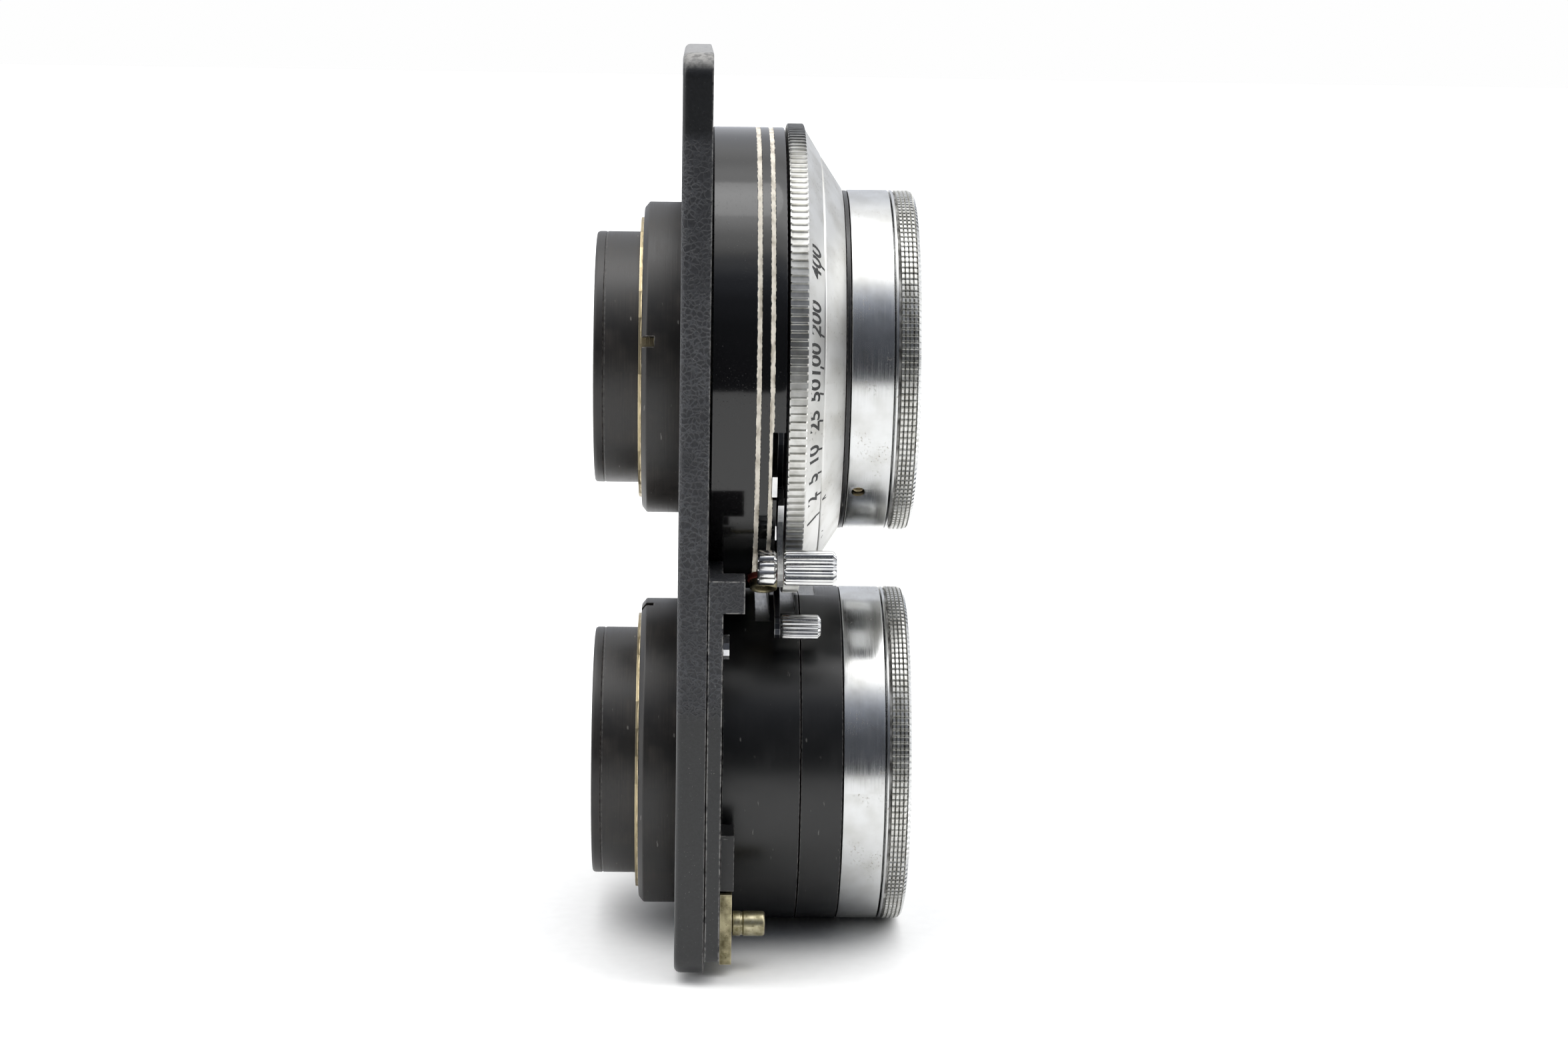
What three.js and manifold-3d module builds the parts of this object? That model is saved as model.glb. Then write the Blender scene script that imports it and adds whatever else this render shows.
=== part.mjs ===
// Interchangeable twin lens board of a twin lens reflex camera, in millimetres.
// A taking lens in its leaf shutter and a matching viewing lens stand on one cast board.
// X runs along the lens axes from the board's rear seat (X = 0) to the front, Z along the
// board from the viewing lens up to the shutter, and Y across it. The origin lies on the
// rear seat, midway between the two lens axes.
import * as THREE from "three";
import { mergeVertices } from "three/addons/utils/BufferGeometryUtils.js";
import Module from "manifold-3d";

// Board
const lensSpacing = 50; // between the two lens axes
const boardWidth = 62;
const boardAbove = 38; // from the taking axis to the board's shutter end
const boardBelow = 20; // from the viewing axis to the board's other end
const boardThickness = 3.5;
const boardCorner = 3;
const spotFaceDepth = 0.4; // cut into the board's rear seat for the retaining rings
const coverThickness = 1.7;
const coverTop = 2.8;
const coverInset = 1.7; // from the board's viewing end
const coverCorner = 1.5;
const lipWidth = 5;
const lipHeight = 3.8;
const lipRise = 2.5;

// Shutter
const caseRoom = 7.5; // from the bright band's radius out to the shutter case's
const caseWall = 1.2;
const caseFront = 11.4; // floor of the slot that the levers swing in
const caseFloor = 1.5;
const flangeThickness = 0.5;
const openingStep = 4; // from the rear tube's radius in to the clear opening's
const bladeCount = 5;
const bladePivotRoom = 2.7; // from the mount tube out to the blades' pivots
const irisPivotStep = 0.5; // from the blades' pivot circle out to the iris leaves'
const bladeThickness = 0.2;
const bladePitch = 0.35;
const irisThickness = 0.15;
const irisPitch = 0.3;
const driveRingThickness = 0.35;
const plateSetback = 0.8; // of the mechanism plate from the levers' slot
const plateThickness = 0.45;
const leverThickness = 0.7;
const leverGap = 0.25; // between the floor of the slot and the levers
const ringProud = 0.5; // speed ring beyond the case
const speedRingBand = 2.1; // axial length of the serrated band
const coneRise = 4.7; // from the serrated band to the flat of the face
const faceWidth = 4.25; // from the bright band out to the seam of the turning scale
const spigotStep = 0.7; // from the bright band out to the spigot the scale turns on
const hubWall = 1.7;

// Lens barrels
const frontRadius = 21; // bright bands and knurled rings, 42 mm across
const tubeStep = 5.5; // from the bright band's radius in to the rear tube's
const rearTubeWall = 1.4;
const rearTubeReach = 10.4; // behind the board seat
const neckWall = 1.5;
const neckReach = 5; // the threaded neck behind the board seat
const nutWall = 1.6;
const nutReach = 4.6;
const notchAngle = { taking: 12.3, viewing: 85 }; // clock angles of the spanner notches
const bandLength = 5;
const knurlGap = 0.2;
const knurlLength = 3.1;
const rimLip = 3.3; // radial width of the front rim
const rimSeatDepth = 2; // from the ring's outside in to its seat on the barrel
const lensLedge = 0.5;
const filletFront = 1;
const frontTubeWall = 1.3;
const spacerLength = 0.5;
const viewingTubeBack = 12;

// Levers and knobs, placed by their clock angle: 0 points to -Y, 90 to +Z
const cockingAngle = -43.4;
const cockingKnobRadius = 2.1;
const cockingKnobLength = 6.2;
const cockingRearKnobLength = 2.2;
const releaseAngle = -64;
const releaseOverhang = 5.3; // from the speed ring out to the release knob's middle
const releaseKnobRadius = 1.5;
const releaseKnobLength = 4.8;
const releasePivotAngle = -80.5;
const releasePivotRoom = 3.2; // from the case's bore in to the lever's pivot
const selectorAngle = -24.6;
const selectorTravel = 10;
const selectorSink = 0.55; // into the case's rim
const apertureTravel = 30;
const apertureLeverAngle = 200;
const socketAngle = -61.5;
const socketRadius = 1.65;
const socketSetback = 1.1; // of the flash socket's middle from the case's rim
const socketReach = 1.5; // beyond the shutter case
const bushWall = 0.3;
const setScrewAngle = -42.1;
// Flats milled across the viewing barrel for the levers: from the case's rim, and depth
const leverFlats = [[-1.9, -0.2, 2.3], [0.6, 3, 1.6]];

// Board hardware
const boardScrewRadius = 0.8;
const screwHeadRadius = 1.5;
const locatorRoom = 3; // from the viewing barrel out to the locator's middle
const locatorPlateThickness = 1.4;
const locatorPlateWidth = 6;
const locatorPlateHeight = 8.6;
const locatorPinRadius = 1.5;
const locatorPinLength = 3.9;

// Clearances
const seat = 0.1; // between fixed pieces that bear on each other
const slide = 0.3; // around what turns, and round inserted pieces

// Facets of a full turn
const roundSteps = 32;
const smallSteps = 12;

// Places that follow from the values above
const takingZ = lensSpacing / 2;
const viewingZ = -lensSpacing / 2;
const boardTop = takingZ + boardAbove;
const boardBottom = boardBelow - viewingZ;
const rearTubeRadius = frontRadius - tubeStep;
const neckBore = rearTubeRadius + slide;
const neckRadius = neckBore + neckWall;
const boardBore = neckRadius + slide;
const nutRadius = boardBore + nutWall;
const coverBack = boardThickness + seat;
const coverFront = coverBack + coverThickness;
const caseBack = boardThickness + seat;
const caseRadius = frontRadius + caseRoom;
const caseBore = caseRadius - caseWall;
const shutterOpening = rearTubeRadius - openingStep;
const bladePivotRadius = neckRadius + bladePivotRoom;
const irisPivotRadius = bladePivotRadius + irisPivotStep;
const flangeBack = caseBack + caseFloor + seat;
const flangeFront = flangeBack + flangeThickness;
const flangeRadius = bladePivotRadius + 1;
const bladeBack = flangeFront + slide;
const bladeFront = bladeBack + (bladeCount - 1) * bladePitch + bladeThickness;
const driveRingBack = bladeFront + slide;
const driveRingFront = driveRingBack + driveRingThickness;
const irisBack = driveRingFront + slide;
const irisFront = irisBack + (bladeCount - 1) * irisPitch + irisThickness;
const plateFront = caseFront - plateSetback;
const plateBack = plateFront - plateThickness;
const leverBack = caseFront + leverGap;
const leverFront = leverBack + leverThickness;
const speedRingRadius = caseRadius + ringProud;
const speedRingBack = leverFront + slide;
const speedRingFront = speedRingBack + speedRingBand;
const scaleSeamRadius = frontRadius + faceWidth;
const spigotRadius = frontRadius + spigotStep;
const faceFlangeBack = speedRingFront + 1.2;
const faceFront = speedRingFront + coneRise;
const hubRadius = neckRadius;
const hubBore = hubRadius - hubWall;
const frontTubeRadius = hubBore - slide;
const spacerBack = faceFront + seat;
const bandBack = spacerBack + spacerLength + seat;
const bandFront = bandBack + bandLength;
const knurlBack = bandFront + knurlGap;
const knurlFront = knurlBack + knurlLength;
const rimBore = frontRadius - rimLip;
const rimSeatRadius = frontRadius - rimSeatDepth;
const lensBore = rimBore - lensLedge;
const viewingJoint = speedRingFront + 0.25;
const releaseReach = speedRingRadius + releaseOverhang;
const releasePivotReach = caseBore - releasePivotRoom;
const selectorBack = caseFront - selectorSink;
const socketX = caseFront - socketSetback;
const bushRadius = socketRadius + bushWall;
const locatorY = -frontRadius - locatorRoom;

const wasm = await Module();
wasm.setup();

const paints = {
  boardEnamel: new THREE.MeshStandardMaterial({ color: 0x1a1a1b, roughness: 0.6, metalness: 0 }),
  shutterEnamel: new THREE.MeshStandardMaterial({ color: 0x0b0b0c, roughness: 0.2, metalness: 0 }),
  satinBlack: new THREE.MeshStandardMaterial({ color: 0x161617, roughness: 0.45, metalness: 0.3 }),
  chrome: new THREE.MeshStandardMaterial({ color: 0xc4c2bd, roughness: 0.2, metalness: 1 }),
  brass: new THREE.MeshStandardMaterial({ color: 0xb08d4a, roughness: 0.35, metalness: 1 }),
  steel: new THREE.MeshStandardMaterial({ color: 0x55565a, roughness: 0.35, metalness: 1 }),
  fibre: new THREE.MeshStandardMaterial({ color: 0x4a1512, roughness: 0.6, metalness: 0 }),
  glass: new THREE.MeshStandardMaterial({ color: 0xa8b4c0, roughness: 0.02, metalness: 0 }),
};

// ---- Solids ----

// A closed three.js geometry as a manifold, with its faces pointing out.
function toSolid(geometry) {
  const plain = geometry.clone();
  plain.deleteAttribute("normal");
  plain.deleteAttribute("uv");
  const welded = mergeVertices(plain, 1e-4);
  const at = welded.attributes.position.array;
  const corners = [];
  for (let i = 0; i < welded.index.count; i += 3) {
    const [a, b, c] = [0, 1, 2].map((k) => welded.index.getX(i + k));
    if (a !== b && b !== c && c !== a) corners.push(a, b, c);
  }
  let volume = 0;
  for (let i = 0; i < corners.length; i += 3) {
    const [p, q, r] = [0, 1, 2].map((k) => new THREE.Vector3().fromArray(at, corners[i + k] * 3));
    volume += p.dot(q.cross(r));
  }
  if (volume < 0) corners.reverse();
  const triVerts = Uint32Array.from(corners);
  const vertProperties = Float32Array.from(at);
  return new wasm.Manifold(new wasm.Mesh({ numProp: 3, vertProperties, triVerts }));
}

function toGeometry(solid) {
  const mesh = solid.getMesh();
  const geometry = new THREE.BufferGeometry();
  geometry.setAttribute("position", new THREE.BufferAttribute(mesh.vertProperties, 3));
  geometry.setIndex(new THREE.BufferAttribute(mesh.triVerts, 1));
  geometry.computeVertexNormals();
  return geometry;
}

// A solid turned about the X axis from [axial, radius] points. A ring's outline closes
// on itself; a disc's starts and ends on the axis.
function turned(outline, steps = roundSteps) {
  const points = outline.map(([x, r]) => new THREE.Vector2(r, x));
  if (points[0].x > 0) points.push(points[0].clone());
  const lathe = new THREE.LatheGeometry(points, steps);
  lathe.applyMatrix4(new THREE.Matrix4().set(0, 1, 0, 0, 0, 0, 1, 0, 1, 0, 0, 0, 0, 0, 0, 1));
  return toSolid(lathe);
}

const tube = (back, front, bore, radius, steps) =>
  turned([[back, bore], [back, radius], [front, radius], [front, bore]], steps);

const rod = (back, front, radius, steps = smallSteps) =>
  turned([[back, 0], [back, radius], [front, radius], [front, 0]], steps);

// A flat piece whose outline lies in the Y-Z plane, between two places along X.
function slab(outline, back, front, curveSegments = 8) {
  const settings = { depth: front - back, bevelEnabled: false, curveSegments };
  const plate = new THREE.ExtrudeGeometry(outline, settings);
  plate.applyMatrix4(new THREE.Matrix4().set(0, 0, 1, back, 1, 0, 0, 0, 0, 1, 0, 0, 0, 0, 0, 1));
  return toSolid(plate);
}

const polygon = (corners) => new THREE.Shape(corners.map(([y, z]) => new THREE.Vector2(y, z)));

function roundedRectangle(width, bottom, top, corner) {
  const half = width / 2;
  const shape = new THREE.Shape();
  shape.moveTo(corner - half, bottom);
  shape.lineTo(half - corner, bottom);
  shape.absarc(half - corner, bottom + corner, corner, -Math.PI / 2, 0);
  shape.absarc(half - corner, top - corner, corner, 0, Math.PI / 2);
  shape.absarc(corner - half, top - corner, corner, Math.PI / 2, Math.PI);
  shape.absarc(corner - half, bottom + corner, corner, Math.PI, 1.5 * Math.PI);
  return shape;
}

const box = (x0, x1, y0, y1, z0, z1) => slab(polygon([[y0, z0], [y1, z0], [y1, z1], [y0, z1]]), x0, x1);

// The point at a clock angle and a reach from a lens axis, as [y, z].
function clock(angle, reach) {
  const turn = THREE.MathUtils.degToRad(angle);
  return [-reach * Math.cos(turn), reach * Math.sin(turn)];
}

// A sector of a ring between two clock angles.
function sector(bore, radius, from, to, back, front) {
  const steps = Math.max(2, Math.ceil(Math.abs(to - from) / 6));
  const along = (reach, a, b) =>
    Array.from({ length: steps + 1 }, (_, i) => clock(a + ((b - a) * i) / steps, reach));
  return slab(polygon([...along(bore, from, to), ...along(radius, to, from)]), back, front);
}

// Stands a piece that was made along +X on its clock angle, so that it points outwards.
function radialPlace(angle, x) {
  const [y, z] = clock(angle, 1);
  const outward = new THREE.Vector3(0, y, z);
  const along = new THREE.Vector3(1, 0, 0);
  const place = new THREE.Matrix4().makeBasis(outward, along, outward.clone().cross(along));
  return place.setPosition(x, 0, 0);
}

const moved = (solid, place) => solid.transform(place.elements);

const shift = (solid, y, z) => solid.translate([0, y, z]);

// ---- The assembly ----

const group = new THREE.Group();
const taking = new THREE.Group();
const viewing = new THREE.Group();
taking.position.z = takingZ;
viewing.position.z = viewingZ;
group.add(taking, viewing);

function add(parent, name, solid, material, place) {
  const mesh = new THREE.Mesh(toGeometry(solid), material);
  mesh.name = name;
  if (place) place.decompose(mesh.position, mesh.quaternion, mesh.scale);
  parent.add(mesh);
}

// ---- Board and its hardware ----

const [upperY, upperZ] = [boardWidth / 2 - 5, -6];
const lowerY = -locatorY - locatorPlateWidth / 2 - screwHeadRadius - 0.5;
const lowerZ = 4 - boardBottom;
const screwPlaces = [[-upperY, upperZ], [upperY, upperZ], [-lowerY, lowerZ], [lowerY, lowerZ]];
const screwBore = boardScrewRadius + slide;
const screwTip = boardThickness - 1.8;

function buildBoard() {
  let board = slab(roundedRectangle(boardWidth, -boardBottom, boardTop, boardCorner), 0, boardThickness);
  for (const z of [takingZ, viewingZ]) {
    board = board.subtract(shift(rod(-1, boardThickness + 1, boardBore, roundSteps), 0, z));
    board = board.subtract(shift(rod(-1, spotFaceDepth, nutRadius + slide, roundSteps), 0, z));
  }
  for (const [y, z] of screwPlaces) {
    board = board.subtract(shift(rod(screwTip - slide, boardThickness + 1, screwBore), y, z));
  }
  add(group, "lens_board", board, paints.boardEnamel);

  const half = boardWidth / 2;
  const coverBottom = coverInset - boardBottom;
  let cover = slab(roundedRectangle(boardWidth, coverBottom, coverTop, coverCorner), coverBack, coverFront);
  cover = cover.add(box(coverBack, coverFront + lipRise, -half, half, coverTop - lipHeight, coverTop));
  cover = cover.subtract(shift(rod(0, 20, caseRadius + slide + seat, roundSteps), 0, takingZ));
  cover = cover.subtract(shift(rod(0, 20, boardBore, roundSteps), 0, viewingZ));
  const lipGap = half - lipWidth;
  cover = cover.subtract(box(coverFront, 20, -lipGap, lipGap, -lipHeight, coverTop + 1));
  for (const [y, z] of screwPlaces) cover = cover.subtract(shift(rod(0, 20, screwBore), y, z));
  add(group, "front_cover_plate", cover, paints.boardEnamel);

  screwPlaces.forEach(([y, z], i) => {
    const head = coverFront + seat;
    const screw = turned([[screwTip, 0], [screwTip, boardScrewRadius], [head, boardScrewRadius],
      [head, screwHeadRadius], [head + 0.7, screwHeadRadius], [head + 0.7, 0]], smallSteps);
    const slot = box(head + 0.4, head + 1, -0.25, 0.25, -2, 2);
    const place = new THREE.Matrix4().setPosition(0, y, z);
    add(group, `cover_screw_${i + 1}`, screw.subtract(slot), paints.steel, place);
  });
}

function buildLocator() {
  const back = coverFront + seat;
  const front = back + locatorPlateThickness;
  const bottom = -boardBottom + 0.5;
  const half = locatorPlateWidth / 2;
  const top = bottom + locatorPlateHeight;
  const plate = box(back, front, locatorY - half, locatorY + half, bottom, top);
  const pinZ = bottom + 4.2;
  const pinBore = shift(rod(0, 20, locatorPinRadius - 0.4), locatorY, pinZ);
  add(group, "locator_plate", plate.subtract(pinBore), paints.brass);
  const shank = locatorPinRadius - 0.4 - seat;
  const pinFront = front + seat + locatorPinLength;
  const pin = turned([[back, 0], [back, shank], [front + seat, shank], [front + seat, locatorPinRadius],
    [pinFront - 0.3, locatorPinRadius], [pinFront, locatorPinRadius - 0.3], [pinFront, 0]], smallSteps);
  add(group, "locator_pin", pin, paints.brass, new THREE.Matrix4().setPosition(0, locatorY, pinZ));
  const blockBottom = top + slide;
  const block = box(back, front + 0.2, locatorY - 2.5, locatorY + 2.5, blockBottom, blockBottom + 6.8);
  add(group, "stop_block", block, paints.satinBlack);
}

// ---- Pieces that both lenses have ----

function buildRearCell(parent, name) {
  const end = -rearTubeReach;
  const bore = rearTubeRadius - rearTubeWall;
  const front = caseBack;
  add(parent, `${name}_rear_tube`, turned([[end, bore + 0.5], [end, rearTubeRadius], [front, rearTubeRadius],
    [front, bore - 1], [front - 1, bore - 1], [front - 1, bore], [end + 0.8, bore]]), paints.satinBlack);
  const glass = bore - seat;
  add(parent, `${name}_rear_element`, lensDisc(end + 1.2, end + 6.5, glass, 0.9, 0.6), paints.glass);

  const [nutBack, nutFront] = [-nutReach, spotFaceDepth - seat];
  const nut = turned([[nutBack, boardBore], [nutBack, nutRadius - 0.8], [nutBack + 0.6, nutRadius],
    [nutFront, nutRadius], [nutFront, boardBore]]);
  const notches = [notchAngle[name], notchAngle[name] + 180].map((angle) =>
    moved(box(boardBore - 1, nutRadius + 1, -0.65, 1.1, -0.6, 0.6), radialPlace(angle, nutBack)));
  add(parent, `${name}_retaining_ring`, nut.subtract(notches[0]).subtract(notches[1]), paints.satinBlack);
}

// A round glass with domed faces between two edge planes.
function lensDisc(back, front, radius, backDome, frontDome) {
  const rings = [0, 0.5, 1];
  const dome = (edge, height) => rings.map((t) => [edge + height * (1 - t * t), t * radius]);
  return turned([...dome(back, -backDome), ...dome(front, frontDome).reverse()], 24);
}

function buildFrontCell(parent, name, tubeBack) {
  const bore = frontTubeRadius - frontTubeWall;
  const seatBack = bandBack + 0.8;
  let barrel = turned([[tubeBack, bore], [tubeBack, frontTubeRadius], [bandBack, frontTubeRadius],
    [bandBack, frontRadius], [bandFront, frontRadius], [bandFront, rimSeatRadius],
    [knurlFront - 1.1, rimSeatRadius], [knurlFront - 1.1, lensBore], [seatBack, lensBore], [seatBack, bore]]);
  if (name === "taking") {
    const screwX = bandBack + 1.3;
    const place = radialPlace(setScrewAngle, screwX);
    barrel = barrel.subtract(moved(rod(frontRadius - 2, frontRadius + 1, 0.8), place));
    const top = frontRadius - 0.5;
    const slot = box(top - 0.3, top + 1, -0.12, 0.12, -1, 1);
    add(parent, "taking_set_screw", rod(frontRadius - 1.8, top, 0.65).subtract(slot), paints.brass, place);
  }
  add(parent, `${name}_front_barrel`, barrel, paints.chrome);
  add(parent, `${name}_front_ring`, turned([[knurlBack, rimSeatRadius + slide], [knurlBack, frontRadius],
    [knurlFront - filletFront, frontRadius], [knurlFront, frontRadius - filletFront], [knurlFront, rimBore],
    [knurlFront - 0.8, rimBore], [knurlFront - 0.8, rimSeatRadius + slide]]), paints.chrome);
  const glass = lensBore - seat;
  const glassFront = knurlFront - 3.6;
  const frontGlass = lensDisc(seatBack + seat + 1, glassFront, glass, 1, 1.5);
  add(parent, `${name}_front_element`, frontGlass, paints.glass);
  const trim = tube(glassFront + 0.6, knurlFront - 1.2, lensBore - 2.8, glass);
  add(parent, `${name}_trim_ring`, trim, paints.satinBlack);
  const innerGlass = lensDisc(tubeBack + 1.6, tubeBack + 4.2, bore - seat, -0.8, -0.8);
  add(parent, `${name}_inner_element`, innerGlass, paints.glass);
}

// ---- Shutter ----

function buildShutterBody() {
  let housing = turned([[caseBack, boardBore], [caseBack, caseRadius], [leverFront, caseRadius],
    [leverFront, caseBore], [caseBack + caseFloor, caseBore], [caseBack + caseFloor, boardBore]]);
  const selectorEnd = selectorAngle + selectorTravel + 4;
  const selectorNotch = sector(caseBore - 1, caseRadius + 1, selectorAngle - 4, selectorEnd,
    selectorBack - 0.25, leverFront + 1);
  const cockingSlot = sector(caseBore - 1, caseRadius + 1, releasePivotAngle - 4, selectorEnd,
    caseFront, leverFront + 1);
  const apertureSlot = sector(caseBore - 1, caseRadius + 1, apertureLeverAngle - 5,
    apertureLeverAngle + apertureTravel + 5, irisBack - slide, irisFront + slide);
  const socketBore = rod(caseBore - 1, caseRadius + 1, bushRadius + slide);
  const socketHole = moved(socketBore, radialPlace(socketAngle, socketX));
  housing = housing.subtract(selectorNotch).subtract(cockingSlot).subtract(apertureSlot);
  housing = housing.subtract(socketHole);
  add(taking, "shutter_case", housing, paints.shutterEnamel);

  let neck = turned([[-neckReach, neckBore], [-neckReach, neckRadius], [flangeBack, neckRadius],
    [flangeBack, flangeRadius], [flangeFront, flangeRadius], [flangeFront, shutterOpening + 0.5],
    [flangeBack, shutterOpening + 0.5], [flangeBack, neckBore]]);
  for (let i = 0; i < bladeCount; i++) {
    const [y, z] = clock((360 / bladeCount) * i, bladePivotRadius);
    neck = neck.add(shift(rod(flangeBack + 0.1, bladeFront + 0.1, 0.4, 8), y, z));
  }
  add(taking, "taking_mount_tube", neck, paints.brass);

  let plate = turned([[plateBack, shutterOpening + 2], [plateBack, caseBore - slide],
    [plateFront, caseBore - slide], [plateFront, hubRadius], [faceFront - 2, hubRadius],
    [faceFront - 2, hubBore], [plateFront + 0.3, hubBore], [plateFront + 0.3, shutterOpening + 2]]);
  for (let i = 0; i < bladeCount; i++) {
    const [y, z] = clock((360 / bladeCount) * (i + 0.5), irisPivotRadius);
    plate = plate.add(shift(rod(irisBack - 0.1, plateBack + 0.1, 0.4, 8), y, z));
  }
  const [pinY, pinZ] = clock(releasePivotAngle, releasePivotReach);
  plate = plate.add(shift(rod(plateBack + 0.1, leverFront, 0.6, 10), pinY, pinZ));
  for (const { angle, reach } of Object.values(retardPivots)) {
    const [y, z] = clock(angle, reach);
    plate = plate.add(shift(rod(plateBack + 0.1, retardFront, 0.4, 8), y, z));
  }
  add(taking, "mechanism_plate", plate, paints.steel);
}

// One shutter blade about its pivot: it covers a fifth of the opening and reaches past
// the middle, and its long edge clears the opening once the blade has swung out.
function shutterBlade(angle, back) {
  const cover = shutterOpening + 0.8;
  const turn = THREE.MathUtils.degToRad(360 / bladeCount);
  const reach = bladePivotRadius;
  const tip = [reach - cover * Math.cos(turn), cover * Math.sin(turn) + 0.8];
  const middle = [reach - cover * Math.cos(turn / 2), cover * Math.sin(turn / 2) + 0.4];
  const outline = [[-1.5, -1], [reach + 1, -1], tip, middle, [3, 2.2], [-1.2, 1.4]];
  return bladeSolid(outline, angle, reach, back, bladeThickness);
}

// One iris leaf about its pivot: a crescent that rests clear of the opening.
function irisLeaf(angle, back) {
  const inner = shutterOpening + 1.2;
  const outer = inner + 5;
  const around = (radius, degrees) => {
    const turn = THREE.MathUtils.degToRad(degrees);
    return [irisPivotRadius - radius * Math.cos(turn), radius * Math.sin(turn)];
  };
  const outline = [[-1.2, -1.2], ...[2, 20, 38, 56, 74].map((a) => around(inner, a)),
    ...[74, 56, 38, 20].map((a) => around(outer, a)), [-1.2, 1.8]];
  return bladeSolid(outline, angle, irisPivotRadius, back, irisThickness);
}

// Turns a leaf outline, drawn with its pivot at 0,0 and the lens axis along +x, to its
// place on the pivot circle, and drills it for the pivot pin.
function bladeSolid(outline, angle, reach, back, thickness) {
  const turn = THREE.MathUtils.degToRad(angle);
  const [pivotY, pivotZ] = clock(angle, reach);
  const toPlace = ([x, y]) => [
    pivotY + x * Math.cos(turn) + y * Math.sin(turn),
    pivotZ - x * Math.sin(turn) + y * Math.cos(turn),
  ];
  const leaf = slab(polygon(outline.map(toPlace)), back, back + thickness);
  return leaf.subtract(shift(rod(back - 1, back + 1, 0.6, 8), pivotY, pivotZ));
}

function buildBlades() {
  for (let i = 0; i < bladeCount; i++) {
    const step = 360 / bladeCount;
    add(taking, `shutter_blade_${i + 1}`, shutterBlade(step * i, bladeBack + i * bladePitch), paints.steel);
    add(taking, `iris_leaf_${i + 1}`, irisLeaf(step * (i + 0.5), irisBack + i * irisPitch), paints.steel);
  }
  const driveBore = shutterOpening + 2;
  const driveRing = tube(driveRingBack, driveRingFront, driveBore, caseBore - slide);
  add(taking, "blade_drive_ring", driveRing, paints.steel);
  const ringOuter = caseBore - slide;
  const ring = tube(irisBack, irisFront, ringOuter - 1.2, ringOuter);
  const lever = sector(ringOuter - 0.6, caseRadius + 3.5, apertureLeverAngle - 1.6, apertureLeverAngle + 1.6,
    irisBack + 0.1, irisFront - 0.1);
  add(taking, "aperture_ring", ring.add(lever), paints.steel);
}

function buildSpeedControls() {
  const lip = 0.5;
  const speedBore = spigotRadius + slide;
  const seamBore = scaleSeamRadius + slide / 2;
  const coneSlope = (faceFront - speedRingFront) / (speedRingRadius - lip - frontRadius);
  const coneAt = (radius) => speedRingFront + (speedRingRadius - lip - radius) * coneSlope;
  const ringShelf = faceFlangeBack - slide;
  const ring = turned([[speedRingBack, speedBore], [speedRingBack, speedRingRadius],
    [speedRingFront, speedRingRadius], [speedRingFront + 0.05, speedRingRadius - lip],
    [coneAt(seamBore), seamBore], [ringShelf, seamBore], [ringShelf, speedBore]]);
  add(taking, "speed_ring", ring, paints.satinBlack);
  const faceEdge = scaleSeamRadius - slide / 2;
  const face = turned([[speedRingBack + 0.4, hubRadius + seat], [speedRingBack + 0.4, spigotRadius],
    [faceFlangeBack, spigotRadius], [faceFlangeBack, faceEdge], [coneAt(faceEdge), faceEdge],
    [faceFront, frontRadius + 0.2], [faceFront, hubRadius + seat]]);
  add(taking, "face_plate", face, paints.satinBlack);
  const spacer = tube(spacerBack, spacerBack + spacerLength, hubRadius, frontRadius);
  add(taking, "spacer_ring", spacer, paints.satinBlack);
}

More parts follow.
